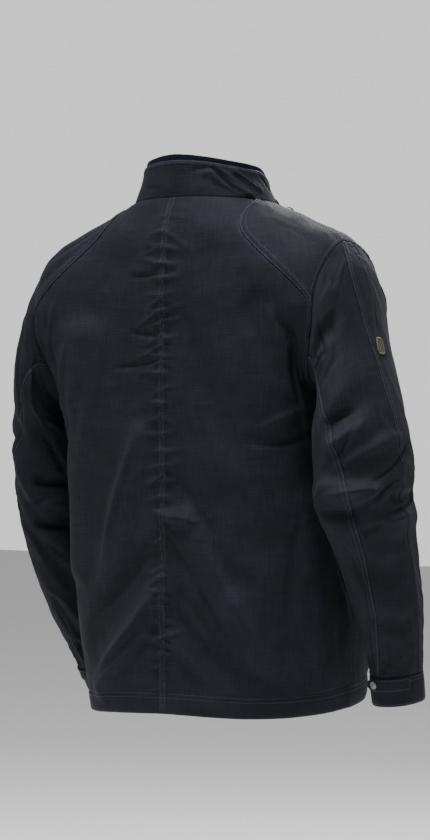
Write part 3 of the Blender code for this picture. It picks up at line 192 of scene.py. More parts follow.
SLEEVE_FOLDS = {
    "right": (
        Fold(0.165, 1.60, 0.250, 1.30, 0.020, -0.008, 0),
        Fold(0.225, 3.15, 0.105, 2.85, 0.022, -0.008, 0),
        Fold(0.235, 3.50, 0.120, 3.30, 0.022, 0.005, 0),
        Fold(0.260, 4.45, 0.110, 4.70, 0.030, 0.009, 0),
        Fold(0.320, 5.00, 0.170, 5.12, 0.019, -0.009, 0),
        Fold(-0.085, 5.08, 0.030, 4.95, 0.016, -0.006, 0),
        Fold(-0.085, 5.50, 0.050, 5.50, 0.022, 0.004, 0),
        Fold(0.250, 6.00, 0.080, 6.30, 0.022, -0.004, 0),
        Fold(0.220, 7.00, 0.070, 7.20, 0.020, -0.004, 0),
        Fold(0.200, 8.10, 0.230, 8.80, 0.014, -0.004, 0),
        Fold(0.300, 8.00, 0.290, 8.80, 0.014, -0.004, 0),
    ) + INNER_ELBOW_FOLDS,
    "left": (
        Fold(0.320, 4.18, 0.430, 4.29, 0.019, -0.008, 0),
        Fold(0.300, 5.30, 0.430, 5.46, 0.019, -0.008, 0),
        Fold(0.205, 3.60, 0.280, 4.60, 0.022, 0.006, 0),
        Fold(0.340, 4.80, 0.440, 4.85, 0.020, 0.006, 0),
        Fold(0.260, 5.70, 0.360, 6.50, 0.020, -0.005, 0),
        Fold(0.270, 6.90, 0.330, 7.80, 0.018, -0.004, 0),
        Fold(0.150, 2.80, 0.240, 3.20, 0.022, -0.006, 0),
        Fold(0.180, 8.10, 0.210, 8.80, 0.014, -0.004, 0),
        Fold(0.290, 8.00, 0.280, 8.80, 0.014, -0.004, 0),
    ) + INNER_ELBOW_FOLDS,
}
COLLAR_FOLDS = (
    Fold(-0.225, 0.62, -0.370, 0.12, 0.013, 0.0045, 0),
    Fold(-0.340, 0.84, -0.480, 0.40, 0.012, 0.0045, 0),
)
SLEEVE_GIRTH, SLEEVE_RING_GAP = 0.42, 0.062  # mean sizes, by which sleeve folds are placed
COLLAR_HALF_GIRTH, COLLAR_HEIGHT = 0.30, 0.054

# ---- Creases: narrower and sharper than the folds, and fading to both ends. lean, from -1 to 1, makes one
# flank steeper than the other. Sizes in millimetres.
Crease = namedtuple("Crease", "turn_a level_a turn_b level_b width depth bow lean")
BODY_CREASES = (
    # Back, left: drag lines to the centre seam, and the ridge down the shoulder blade
    Crease(0.110, 5.72, 0.000, 5.60, 7, -3.0, 1, 0.2),
    Crease(0.072, 3.76, 0.004, 3.68, 6, -2.4, 1, 0.2),
    Crease(0.070, 5.10, 0.002, 5.22, 6, -2.4, 0, -0.2),
    Crease(0.060, 7.00, 0.150, 8.60, 13, 4.5, 3, 0.4),
    Crease(0.002, 8.78, 0.185, 9.62, 13, 5.0, -9, 0.4),
    Crease(0.020, 9.20, 0.205, 9.80, 10, 3.0, -4, 0.3),
    Crease(0.035, 8.50, 0.230, 9.24, 15, -3.0, -5, 0.2),
    Crease(0.180, 5.20, 0.290, 7.70, 10, 4.0, 2, 0.5),
    Crease(0.150, 5.40, 0.235, 7.60, 14, -2.5, 0, 0.0),
    Crease(0.225, 4.60, 0.240, 5.95, 6, -2.2, 0, 0.0),
    Crease(0.205, 4.30, 0.262, 5.85, 6, 2.2, 0, 0.2),
    Crease(0.240, 5.10, 0.330, 7.00, 8, -2.6, 3, 0.0),
    Crease(0.300, 7.10, 0.380, 8.40, 9, 2.2, 3, 0.0),
    # Back, right
    Crease(-0.004, 8.07, -0.095, 8.15, 11, 4.0, -2, 0.3),
    Crease(-0.080, 8.10, -0.215, 9.30, 14, 5.0, 4, 0.4),
    Crease(-0.030, 8.35, -0.165, 9.35, 10, -3.6, 3, 0.2),
    Crease(-0.012, 8.80, -0.175, 9.56, 10, 3.6, 3, 0.3),
    Crease(-0.004, 9.18, -0.125, 9.75, 9, 2.6, 2, 0.3),
    Crease(-0.030, 7.62, -0.130, 8.30, 10, -2.2, 2, 0.0),
    Crease(-0.185, 4.70, -0.250, 5.70, 9, 3.0, 0, 0.2),
    Crease(-0.150, 4.55, -0.228, 5.95, 12, -3.0, 0, 0.0),
    Crease(-0.060, 4.85, -0.168, 7.50, 22, -3.6, 4, 0.0),
    Crease(-0.205, 7.20, -0.335, 7.08, 7, -2.8, 2, 0.2),
    Crease(-0.205, 7.00, -0.328, 6.50, 12, 2.6, -3, 0.2),
    Crease(-0.222, 5.15, -0.298, 6.05, 9, -5.0, 2, 0.3),
    Crease(-0.238, 5.50, -0.300, 6.50, 7, -4.0, 0, 0.2),
    Crease(-0.206, 5.00, -0.238, 5.36, 6, -3.0, 0, 0.0),
    Crease(-0.252, 5.16, -0.322, 6.06, 8, 3.0, 0, 0.3),
    Crease(-0.300, 6.20, -0.350, 7.40, 9, 2.0, 2, 0.0),
    Crease(-0.360, 8.10, -0.485, 9.25, 14, 3.0, 3, 0.2),
    Crease(-0.300, 8.00, -0.275, 9.60, 16, -3.0, 3, 0.0),
    Crease(-0.222, 8.45, -0.215, 9.60, 16, 2.6, 2, 0.0),
    Crease(-0.400, 7.50, -0.445, 8.90, 12, -2.4, 3, 0.0),
    # Yokes
    Crease(0.280, 3.95, 0.215, 1.85, 6, 1.8, 2, 0.2),
    Crease(0.278, 4.40, 0.218, 3.10, 6, -1.8, 2, 0.0),
    Crease(0.300, 3.70, 0.250, 1.60, 7, -1.6, 2, 0.0),
    Crease(-0.330, 3.40, -0.290, 1.70, 9, -1.2, 2, 0.0),
    Crease(-0.500, 2.90, -0.560, 1.40, 8, -1.4, 0, 0.0),
    Crease(0.500, 2.90, 0.560, 1.40, 8, -1.4, 0, 0.0),
    # Fronts
    Crease(0.580, 6.20, 0.760, 8.20, 11, 3.0, 3, 0.3),
    Crease(-0.585, 6.10, -0.770, 8.00, 11, 3.0, 3, 0.3),
    Crease(0.640, 6.40, 0.560, 8.40, 10, -2.6, 2, 0.0),
    Crease(-0.640, 6.60, -0.560, 8.50, 10, -2.6, 2, 0.0),
    Crease(0.690, 8.10, 0.860, 9.60, 12, 3.6, 3, 0.3),
    Crease(-0.670, 7.90, -0.840, 9.50, 12, 3.6, 3, 0.3),
    Crease(0.600, 8.50, 0.680, 9.80, 10, -3.0, 2, 0.0),
    Crease(-0.580, 8.40, -0.660, 9.70, 10, -3.0, 2, 0.0),
    Crease(0.985, 8.60, 0.860, 9.20, 9, -2.0, 2, 0.0),
    Crease(-0.985, 7.40, -0.840, 7.90, 9, -2.0, 2, 0.0),
    Crease(0.985, 5.60, 0.850, 6.20, 9, 2.0, 2, 0.0),
    Crease(-0.985, 5.20, -0.820, 5.90, 9, 2.0, 2, 0.0),
    Crease(0.900, 1.40, 0.740, 4.20, 10, -2.2, 3, 0.0),
    Crease(-0.900, 1.50, -0.730, 4.10, 10, -2.2, 3, 0.0),
    Crease(0.660, 4.20, 0.700, 6.20, 8, -2.6, 2, 0.2),
    Crease(-0.660, 4.20, -0.700, 6.10, 8, -2.6, 2, 0.2),
)
INNER_ELBOW_CREASES = (
    Crease(0.500, 1.90, 0.660, 2.20, 7, -2.6, 1, 0.2),
    Crease(0.540, 2.58, 0.720, 3.02, 7, -3.4, 2, 0.2),
    Crease(0.560, 3.10, 0.740, 3.40, 8, 2.8, 1, 0.2),
    Crease(0.500, 3.62, 0.740, 3.92, 7, -3.6, 2, 0.2),
    Crease(0.520, 4.25, 0.760, 4.35, 9, 3.4, 1, 0.2),
    Crease(0.520, 4.88, 0.770, 4.70, 8, -4.4, 2, 0.3),
    Crease(0.540, 5.20, 0.760, 5.15, 8, 3.2, 1, 0.2),
    Crease(0.480, 5.58, 0.700, 5.82, 7, -3.0, 1, 0.2),
    Crease(0.560, 6.30, 0.720, 6.60, 8, 2.0, 1, 0.0),
    Crease(0.540, 7.00, 0.740, 7.22, 7, -2.0, 1, 0.0),
)
SLEEVE_CREASES = {
    "right": (
        Crease(0.217, 1.00, 0.204, 1.95, 6, -3.2, 1, 0.2),
        Crease(0.290, 0.50, 0.233, 1.95, 6, 2.6, 1, 0.2),
        Crease(0.310, 1.45, 0.183, 1.85, 5, -3.2, 1, 0.2),
        Crease(0.150, 2.12, 0.250, 2.25, 6, -2.2, 1, 0.0),
        Crease(0.260, 3.06, 0.112, 3.00, 9, -4.8, -2, 0.4),
        Crease(0.235, 3.48, 0.105, 3.12, 10, 3.8, 1, 0.2),
        Crease(0.122, 3.10, 0.215, 3.78, 7, -3.2, 2, 0.2),
        Crease(0.200, 3.90, -0.025, 3.40, 14, 4.0, -3, 0.3),
        Crease(0.110, 4.40, -0.062, 3.52, 8, -3.2, 2, 0.2),
        Crease(0.355, 5.10, 0.172, 5.17, 7, -6.5, 1, 0.4),
        Crease(0.185, 5.17, 0.020, 4.42, 9, -3.6, 2, 0.3),
        Crease(0.290, 4.74, 0.110, 4.56, 13, 4.2, -2, 0.3),
        Crease(0.065, 5.26, -0.108, 5.20, 7, -4.6, 1, 0.3),
        Crease(0.130, 5.34, -0.045, 5.40, 7, 2.8, 1, 0.2),
        Crease(0.175, 5.50, 0.060, 5.36, 7, -2.0, 1, 0.0),
        Crease(-0.028, 1.40, 0.017, 2.55, 7, 1.6, 1, 0.0),
        Crease(0.110, 1.15, 0.172, 2.45, 11, -2.2, 2, 0.0),
        Crease(0.156, 0.05, 0.136, 0.92, 6, -2.2, 1, 0.0),
        Crease(0.056, 0.62, 0.114, 1.25, 7, 1.8, 1, 0.0),
        Crease(0.260, 5.60, 0.200, 6.60, 10, -2.0, 2, 0.0),
        Crease(-0.010, 6.10, -0.005, 7.45, 9, 2.0, 1, 0.2),
        Crease(0.196, 5.90, 0.212, 7.20, 13, -2.0, 2, 0.0),
        Crease(0.246, 7.10, 0.300, 8.50, 8, -3.0, 1, 0.0),
        Crease(0.158, 7.50, 0.171, 8.60, 8, -2.2, 1, 0.0),
        Crease(0.317, 7.20, 0.333, 8.00, 7, 2.2, 1, 0.0),
        Crease(0.100, 6.60, 0.020, 7.60, 12, 1.8, 2, 0.0),
    ) + INNER_ELBOW_CREASES,
    "left": (
        Crease(0.280, 4.28, 0.430, 4.40, 7, -5.4, 1, 0.3),
        Crease(0.270, 5.40, 0.420, 5.60, 7, -5.4, 1, 0.3),
        Crease(0.218, 3.70, 0.278, 4.74, 8, 3.8, 2, 0.3),
        Crease(0.225, 4.84, 0.385, 4.66, 9, -3.2, 2, 0.2),
        Crease(0.345, 3.05, 0.412, 4.25, 8, -2.4, 2, 0.0),
        Crease(0.300, 5.74, 0.385, 6.28, 8, -2.4, 1, 0.0),
        Crease(0.228, 6.58, 0.335, 7.02, 9, 2.4, 1, 0.0),
        Crease(0.240, 6.95, 0.270, 7.65, 8, -2.0, 1, 0.0),
        Crease(0.210, 1.05, 0.268, 2.90, 8, -2.6, 2, 0.0),
        Crease(0.300, 0.60, 0.360, 2.90, 8, 2.6, 2, 0.2),
        Crease(0.185, 5.30, 0.282, 6.25, 9, 2.8, 2, 0.2),
        Crease(0.100, 4.60, 0.220, 5.20, 10, -2.6, 2, 0.2),
        Crease(0.060, 3.60, 0.200, 3.30, 10, -2.4, 2, 0.0),
        Crease(0.020, 2.80, 0.150, 2.40, 12, 2.0, 2, 0.0),
        Crease(-0.060, 5.10, 0.080, 5.20, 9, -2.6, 1, 0.2),
        Crease(0.060, 7.20, 0.160, 8.20, 8, -2.2, 1, 0.0),
    ) + INNER_ELBOW_CREASES,
}
COLLAR_CREASES = (
    # The buckle at the right back, and soft creases beside it
    Crease(-0.205, 0.90, -0.345, 0.10, 7, -5.2, -2, 0.3),
    Crease(-0.235, 0.96, -0.375, 0.36, 5, 2.6, -2, 0.2),
    Crease(-0.150, 0.62, -0.240, 0.74, 6, 1.8, 1, 0.2),
    Crease(-0.100, 0.70, -0.210, 0.88, 5, -1.5, 1, 0.0),
    Crease(-0.330, 0.95, -0.500, 0.30, 7, -2.6, 2, 0.3),
    Crease(-0.520, 0.90, -0.640, 0.30, 7, -1.6, 1, 0.0),
    Crease(0.060, 0.30, 0.200, 0.42, 6, -0.9, 1, 0.0),
    Crease(0.320, 0.85, 0.430, 0.25, 7, -1.6, 1, 0.0),
    Crease(0.560, 0.80, 0.660, 0.20, 7, -1.6, 1, 0.0),
    Crease(-0.780, 0.90, -0.860, 0.20, 7, -1.4, 1, 0.0),
)
CREASE_STRENGTH = 1.55  # all creases' depths are multiplied by it
# How fast a crease fades to its ends, how much narrower it is there, how far lean moves its flanks, and how
# round its crest is
CREASE_FADE, CREASE_TAPER, CREASE_SKEW, CREASE_ROUNDNESS = 0.8, 0.45, 0.6, 1.2

# How strong the centre seam's puckers are, by metres down from the neck
PUCKER_STRENGTH = ((0.000, 0.10), (0.030, 0.40), (0.060, 0.85), (0.200, 1.15), (0.290, 0.80), (0.420, 1.00),
                   (0.600, 1.10), (0.665, 0.60), (0.690, 0.0))
PUCKER_FIRST, PUCKER_LAST = 0.022, 0.03  # metres from the neck seam, and from the hem
PUCKER_WIDTHS, PUCKER_SHIFT = (3.4, 5.2), 1.4  # in millimetres
PUCKER_SIZES, PUCKER_SLOPES = (0.55, 1.15), (-0.10, 0.42)
PUCKER_REACHES, PUCKER_REACH_CHANCES = (0.36, 0.55, 0.75, 1.0), (0.22, 0.34, 0.28, 0.16)

# ---- How an edge is sewn. lap lifts it over its neighbour or tucks it under, band is the width of the seam
# allowance that pads it out, rows are the distances of its stitch rows from the edge, and pucker is the
# height of the waves that the stitching draws in. Sizes in millimetres. first and last are in coarse rows.
Edge = namedtuple("Edge", "side first last lap band rows pucker")
END = 999  # an Edge's last row, where it goes on to the end
# Distances of the shell's grid lines from an edge, close enough for its sewing to show
EDGE_STEPS = np.array([0, 0.8, 1.6, 2.6, 4.0, 5.6, 7.2, 8.2, 9.4, 11.0, 13.5]) * MM


# ---- Sizes and colours that a user would change

class ClothSettings(bpy.types.PropertyGroup):
    cell: bpy.props.FloatProperty(
        name="Cell", description="Size of the shell's cells where the photo shows the cloth",
        default=3.0 * MM, unit="LENGTH")
    front_cell: bpy.props.FloatProperty(
        name="Front cell", description="Size of the cells on the fronts", default=4.2 * MM, unit="LENGTH")
    wall: bpy.props.FloatProperty(
        name="Wall", description="Thickness of the cloth and the cloth behind it", default=1.6 * MM,
        unit="LENGTH")
    outside: bpy.props.StringProperty(
        name="Outside", description="Colour of the waxed cotton, as sRGB hex", default="1b1c22")
    worn: bpy.props.StringProperty(
        name="Worn", description="Its colour where it is rubbed, as sRGB hex", default="2b2c38")
    inner_collar: bpy.props.StringProperty(
        name="Inner collar", description="Colour of the collar's second layer, as sRGB hex", default="10121c")
    inside: bpy.props.StringProperty(
        name="Inside", description="Colour of the cloth behind, as sRGB hex", default="12141b")
    wrinkle: bpy.props.FloatProperty(
        name="Wrinkles", description="Height of the small unevenness all over", default=0.8 * MM,
        unit="LENGTH")


class StitchSettings(bpy.types.PropertyGroup):
    length: bpy.props.FloatProperty(
        name="Stitch", description="Length of a stitch", default=3.0 * MM, unit="LENGTH")
    gap: bpy.props.FloatProperty(
        name="Gap", description="Space between two stitches", default=0.7 * MM, unit="LENGTH")
    thread: bpy.props.FloatProperty(
        name="Thread", description="Thickness of the thread", default=0.75 * MM, unit="LENGTH")
    colour: bpy.props.StringProperty(
        name="Colour", description="Colour of the thread, as sRGB hex", default="23262f")


class PuckerSettings(bpy.types.PropertyGroup):
    spacing: bpy.props.FloatProperty(
        name="Spacing", description="Mean space between the centre seam's puckers", default=10.0 * MM,
        unit="LENGTH")
    depth: bpy.props.FloatProperty(
        name="Depth", description="Height of the centre seam's puckers", default=5.0 * MM, unit="LENGTH")
    reach: bpy.props.FloatProperty(
        name="Reach", description="How far the longest puckers reach from the seam", default=38 * MM,
        unit="LENGTH")


class TrimSettings(bpy.types.PropertyGroup):
    nickel: bpy.props.StringProperty(
        name="Nickel", description="Colour of the plated metal, as sRGB hex", default="6e7072")
    patch_thread: bpy.props.StringProperty(
        name="Patch thread", description="Colour of the patch's embroidery, as sRGB hex", default="4c4928")
    patch_ground: bpy.props.StringProperty(
        name="Patch ground", description="Colour of the patch's ground, as sRGB hex", default="0f1013")
    zip_tape: bpy.props.StringProperty(
        name="Zip tape", description="Colour of the zip's tape, as sRGB hex", default="23262e")
    tooth_pitch: bpy.props.FloatProperty(
        name="Tooth pitch", description="From one zip tooth to the next on the same side", default=2.5 * MM,
        unit="LENGTH")


class StageSettings(bpy.types.PropertyGroup):
    floor_height: bpy.props.FloatProperty(
        name="Floor", description="Height of the floor on which the wearer stands", default=-1.45,
        unit="LENGTH")
    key: bpy.props.FloatProperty(
        name="Key light", description="Power of the large soft light above", default=320.0)
    fill: bpy.props.FloatProperty(
        name="Fill light", description="Power of the lights at the sides", default=20.0)
    sky: bpy.props.FloatProperty(
        name="Surround", description="Strength of the pale surround", default=1.0)


def settings(name):
    return getattr(bpy.context.scene, name)


# ---- Surfaces

def numbers(rows):
    """The number columns of a table, as an array of a row for each ring."""
    return np.array([[value for value in row if not isinstance(value, str)] for row in rows])


def spline(rows, at):
    """Smooth values between rows, at row numbers with fractions. rows is a table, or one row of points
    for each ring, with as many points as at."""
    rows, at = np.asarray(rows, float), np.asarray(at, float)
    last = len(rows) - 1
    at = np.clip(at, 0, last)
    low = np.minimum(at.astype(int), last - 1)
    padded = np.concatenate([[2 * rows[0] - rows[1]], rows, [2 * rows[-1] - rows[-2]]])
    if rows.ndim == 2:
        before, here, after, beyond = (padded[low + step] for step in range(4))
    else:
        before, here, after, beyond = (
            np.take_along_axis(padded, (low + step)[None, ..., None], 0)[0] for step in range(4))
    part = (at - low)[..., None]
    bend = 2 * before - 5 * here + 4 * after - beyond
    swing = 3 * (here - after) + beyond - before
    return here + 0.5 * part * (after - before + part * (bend + part * swing))


def ring_points(values, turn):
    """Points on rings: values holds Ring's numbers in its last axis."""
    side_drop, back_drop, front_drop, half_width, middle, back, front = np.moveaxis(values[..., :7], -1, 0)
    s, c = np.sin(pi * turn), np.cos(pi * turn)
    square = np.where(c > 0, values[..., 7], values[..., 8])
    stretch = (np.abs(s) ** square + np.abs(c) ** square) ** (-1 / square)
    reach = np.where(c > 0, back - middle, middle - front)
    end_drop = np.where(c > 0, back_drop, front_drop)
    return np.stack([half_width * s * stretch, middle + reach * c * stretch,
                     -(side_drop + (end_drop - side_drop) * c**2)], axis=-1)


BODY = numbers(BODY_RINGS)
COLLAR = numbers(COLLAR_RINGS)
GIRTHS = pi * np.sqrt((BODY[:, 3] ** 2 + ((BODY[:, 5] - BODY[:, 6]) / 2) ** 2) / 2)
DOWNS = np.concatenate([[0], np.cumsum(np.hypot(np.diff(BODY[:, 1]), np.diff(BODY[:, 5])))])
BODY_SCALE = np.stack([GIRTHS, DOWNS], axis=-1)
BACK_DROP_AND_REACH, FRONT_DROP_AND_REACH = (1, 5), (2, 6)  # columns of BODY down the centre back and front
COLLAR_MIDDLE = np.array([0.0, -0.01, 0.0])
STEP = 1e-3  # of a level or of a turn, for differences


def unit(vectors):
    return vectors / np.linalg.norm(vectors, axis=-1, keepdims=True)


def ease(value):
    """0 below 0, 1 above 1, and smooth between."""
    part = np.clip(value, 0, 1)
    return part * part * (3 - 2 * part)


def surface_normal(points_at, u, v, step=STEP):
    along_u = points_at(u + step, v) - points_at(u - step, v)
    along_v = points_at(u, v + step) - points_at(u, v - step)
    return unit(np.cross(along_u, along_v))


def place_on_line(across, down, start, end, bow):
    """Places relative to a line that bows: the part along it, and the distances off its side and its ends."""
    run_x, run_y = end[0] - start[0], end[1] - start[1]
    length = np.hypot(run_x, run_y)
    along = ((across - start[0]) * run_x + (down - start[1]) * run_y) / length**2
    inside = np.clip(along, 0, 1)
    off_side = ((across - start[0]) * run_y - (down - start[1]) * run_x) / length
    return inside, off_side - bow * 4 * inside * (1 - inside), (along - inside) * length


def fold_height(across, down, folds, place):
    """How far folds move the cloth out. place turns a fold's two numbers into metres across and down."""
    height = np.zeros(np.shape(across))
    for fold in folds:
        start, end = place(fold.turn_a, fold.level_a), place(fold.turn_b, fold.level_b)
        _, off_side, off_end = place_on_line(across, down, start, end, fold.bow)
        off = np.hypot(off_side, off_end) / fold.width
        height += fold.depth * np.where(off < 1, (1 + np.cos(pi * np.minimum(off, 1))) / 2, 0)
    return height


def crease_height(across, down, creases, place):
    """As fold_height, for creases: a sharper crest, one steeper flank, and ends that fade."""
    height = np.zeros(np.shape(across))
    for crease in creases:
        start, end = place(crease.turn_a, crease.level_a), place(crease.turn_b, crease.level_b)
        inside, off_side, off_end = place_on_line(across, down, start, end, crease.bow * MM)
        fade = np.clip(4 * inside * (1 - inside), 0, 1) ** CREASE_FADE
        taper = 1 - CREASE_TAPER + CREASE_TAPER * fade
        width = crease.width * MM * taper * (1 + crease.lean * np.sign(off_side) * CREASE_SKEW)
        off = np.clip(np.hypot(off_side / width, off_end / (crease.width * MM)), 0, 1)
        height += CREASE_STRENGTH * crease.depth * MM * fade * (1 - off) ** 2 * (1 + CREASE_ROUNDNESS * off)
    return height


def soft_noise(x, y, cell_x, cell_y, seed):
    """Smooth unevenness from -1 to 1, with cells of that size."""
    table = np.random.RandomState(seed).uniform(-1, 1, (64, 64))
    u, v = x / cell_x, y / cell_y
    column, row = np.floor(u).astype(int), np.floor(v).astype(int)
    s, t = ease(u - column), ease(v - row)
    corner = lambda i, j: table[(column + i) % 64, (row + j) % 64]
    return ((1 - t) * ((1 - s) * corner(0, 0) + s * corner(1, 0))
            + t * ((1 - s) * corner(0, 1) + s * corner(1, 1)))


def small_wrinkles(across, down, seed):
    """Unevenness of worn cloth: soft hollows with narrow soft ridges between them."""
    broad = soft_noise(across, down, 0.034, 0.046, seed)
    ridged = 1 - np.abs(soft_noise(across + 0.3 * down, down, 0.021, 0.030, seed + 1)) * 2
    fine = soft_noise(across, down - 0.4 * across, 0.009, 0.013, seed + 2)
    return settings("jacket_cloth").wrinkle * (0.9 * broad + 0.7 * ridged + 0.34 * fine)


def centre_puckers(across, down):
    """The puckers that the twin-stitched centre-back seam draws in, uneven in length, depth and spacing."""
    pucker = settings("jacket_pucker")
    height = np.zeros(np.shape(across))
    near = np.abs(across) < pucker.reach * 1.1
    distance, x, y = np.abs(across[near]), across[near], down[near]
    total = np.zeros(len(x))
    shared = np.random.RandomState(11)
    place = PUCKER_FIRST
    while place < DOWNS[-1] - PUCKER_LAST:
        strength = np.interp(place, *zip(*PUCKER_STRENGTH))
        width, bold = shared.uniform(*PUCKER_WIDTHS) * MM, shared.uniform(*PUCKER_SIZES)
        for side in (-1, 1):
            reach = pucker.reach * shared.choice(PUCKER_REACHES, p=PUCKER_REACH_CHANCES)
            slope = shared.uniform(*PUCKER_SLOPES)
            shift = shared.uniform(-PUCKER_SHIFT, PUCKER_SHIFT) * MM
            size = bold * shared.uniform(0.7, 1.15) * (1.0 if reach < pucker.reach * 0.6 else 1.2)
            here = np.where(x == 0, 0.5, np.sign(x) == side)
            centre = place + shift + slope * distance + 0.004 * np.sin(distance * 90 + place * 300)
            off = np.clip(np.abs(y - centre) / (width * (1 + distance / 0.035)), 0, 1)
            rise = 0.45 + 0.55 * ease(distance / 0.006)
            fall = np.clip(1 - distance / reach, 0, 1) ** 1.2
            total += here * strength * size * rise * fall * (1 - off) ** 2 * (1 + 1.4 * off)
        place += pucker.spacing * shared.uniform(0.72, 1.3)
    height[near] = (total - 0.22 * np.clip(1 - distance / 0.016, 0, 1)) * pucker.depth
    return height


def body_place(turn, level):
    """Metres across and down the cloth."""
    girth, down = np.moveaxis(spline(BODY_SCALE, level), -1, 0)
    return turn * girth, down


def body_smooth(turn, level):
    points = ring_points(spline(BODY, level), turn)
    hang = spline(np.array(HEM_HANG)[:, None], (turn + 1) * (len(HEM_HANG) - 1) / 2)[..., 0]
    points[..., 2] -= hang * (level / HEM_LEVEL) ** 3
    return points


def body_normal(turn, level):
    return surface_normal(body_smooth, turn, np.clip(level, STEP, HEM_LEVEL - STEP))


def body(turn, level, detail=True):
    """Points of the body's outer face, folds and all. Without detail, as the armhole's seam line has it."""
    turn, level = np.broadcast_arrays(np.asarray(turn, float), np.asarray(level, float))
    across, down = body_place(turn, level)
    height = np.clip(level / 0.8, 0, 1) * fold_height(across, down, BODY_FOLDS, body_place)
    if detail:
        fade = ease(level / 0.5)
        height = height + fade * crease_height(across, down, BODY_CREASES, body_place)
        height = height + fade * small_wrinkles(across, down, 5) + centre_puckers(across, down)
    return body_smooth(turn, level) + body_normal(turn, level) * height[..., None]


def loop_place(around):
    """turn and level of the armhole, for the left side."""
    s = np.sin(tau * around)
    power = np.where(np.cos(tau * around) > 0, LOOP_TOP_POINT, LOOP_FOOT_SQUARE)
    s = np.sign(s) * np.abs(s) ** power
    turn = SIDE_SEAM - np.where(s > 0, LOOP_BACK_REACH, LOOP_FRONT_REACH) * s
    return turn, LOOP_LEVEL - LOOP_HALF * np.cos(tau * around)


def sleeve_smooth(side, around, along, detail=True):
    """Points of a sleeve before folds. along is 0 at the armhole and then SLEEVES' row numbers, from 1."""
    sign = 1 if side == "left" else -1
    turn, level = loop_place(around)
    sections = [body(sign * turn, level, detail)]
    out, back = np.cos(tau * around), np.sin(tau * around)
    for ring in SLEEVES[side] + (cuff_end(side),):
        lean, pitch = radians(ring.lean), radians(ring.pitch)
        across = ring.half_width * out
        deep = ring.half_depth * back
        x = ring.x + across * cos(lean)
        y = ring.y + deep * cos(pitch)
        z = ring.z + across * sin(lean) - deep * sin(pitch)
        sections.append(np.stack([sign * x, y, z], axis=-1))
    return spline(np.stack(sections), along)


def cuff_end(side):
    """The ring at the cuff's open edge: the cuff goes on in the direction of the forearm."""
    wrist, seam = SLEEVES[side][-2:]
    run = np.array([seam.x - wrist.x, seam.y - wrist.y, seam.z - wrist.z])
    end = np.array([seam.x, seam.y, seam.z]) + run / np.linalg.norm(run) * CUFF_HEIGHT
    return seam._replace(name="cuff edge", x=end[0], y=end[1], z=end[2])


def sleeve_place(around, along):
    return around * SLEEVE_GIRTH, along * SLEEVE_RING_GAP


def sleeve_normal(side, around, along):
    smooth = lambda u, v: sleeve_smooth(side, u, v, False)
    normal = surface_normal(smooth, around, np.clip(along, STEP, SLEEVE_RINGS + 1 - STEP))
    return -normal if side == "left" else normal


def sleeve(side, around, along):
    """Points of a sleeve's outer face, folds and all."""
    around, along = np.broadcast_arrays(np.asarray(around, float), np.asarray(along, float))
    fade = np.clip(along / 0.6, 0, 1) * np.clip((SLEEVE_RINGS - along) / 0.3, 0, 1)
    height = 0
    for lap in (-1, 0, 1):
        across, down = sleeve_place(around + lap, along)
        height = height + fold_height(across, down, SLEEVE_FOLDS[side], sleeve_place)
        height = height + crease_height(across, down, SLEEVE_CREASES[side], sleeve_place)
    turning = np.sin(tau * around) * 0.07, np.cos(tau * around) * 0.07  # so that the noise meets itself
    metres = along * SLEEVE_RING_GAP
    bumps = small_wrinkles(turning[0] + metres * 0.5, turning[1] + metres, 21)
    points = sleeve_smooth(side, around, along)
    return points + sleeve_normal(side, around, along) * (fade * (height + 1.2 * bumps))[..., None]


def collar_smooth(turn, rise):
    rows = np.stack([body(turn, 0.0)] + [ring_points(ring, turn) for ring in COLLAR])
    return spline(rows, rise * (len(rows) - 1))


def collar_place(turn, rise):
    return turn * COLLAR_HALF_GIRTH, rise * COLLAR_HEIGHT


def collar_outward(turn, rise):
    """Outward normals of the collar, leaving out its folds."""
    turn, rise = np.broadcast_arrays(np.asarray(turn, float), np.asarray(rise, float))
    normals = surface_normal(collar_smooth, turn, np.clip(rise, STEP, 1 - STEP))
    away = collar_smooth(turn, rise) - COLLAR_MIDDLE
    return normals * np.sign((normals * away).sum(axis=-1, keepdims=True))


def collar(turn, rise):
    """Points of the stand collar's outer face. rise is 0 at the neck seam and 1 at the top."""
    turn, rise = np.broadcast_arrays(np.asarray(turn, float), np.asarray(rise, float))
    across, down = collar_place(turn, rise)
    height = fold_height(across, down, COLLAR_FOLDS, collar_place)
    height = height + crease_height(across, down, COLLAR_CREASES, collar_place)
    height = (height + 0.5 * small_wrinkles(across, down, 31)) * np.clip(rise / 0.1, 0, 1)
    return collar_smooth(turn, rise) + collar_outward(turn, rise) * height[..., None]


def around_of(side, column, along):
    """Place round the sleeve of a column counted as on the armhole. The strip and the elbow seam pull the
    columns along."""
    rings = SLEEVES[side] + SLEEVES[side][-1:]
    rows = range(len(rings) + 1)
    strip = np.interp(along, rows, [STRIP_BACK / LOOP_PIECES] + [ring.strip for ring in rings])
    elbow = np.interp(along, rows, [ELBOW_SEAM / LOOP_PIECES] + [ring.elbow for ring in rings])
    width = (STRIP_BACK - STRIP_FRONT + LOOP_PIECES) / LOOP_PIECES
    in_strip = strip + (column - STRIP_BACK) / LOOP_PIECES
    in_back = strip + (column - STRIP_BACK) / (ELBOW_SEAM - STRIP_BACK) * (elbow - strip)
    in_under = elbow + (column - ELBOW_SEAM) / (STRIP_FRONT - ELBOW_SEAM) * (strip - width + 1 - elbow)
    return np.select([column <= STRIP_BACK, column <= ELBOW_SEAM, column <= STRIP_FRONT],
                     [in_strip, in_back, in_under], in_strip)


def seam_line(points, junction, parts):
    """turn and level along a yoke seam, at parts of the way from the neck to the armhole."""
    turn, level = loop_place(junction / LOOP_PIECES)
    line = np.array([tuple(point) for point in points] + [(float(turn), float(level))])
    samples = spline(line, parts * (len(line) - 1))
    return samples[:, 0], np.maximum(samples[:, 1], 0)


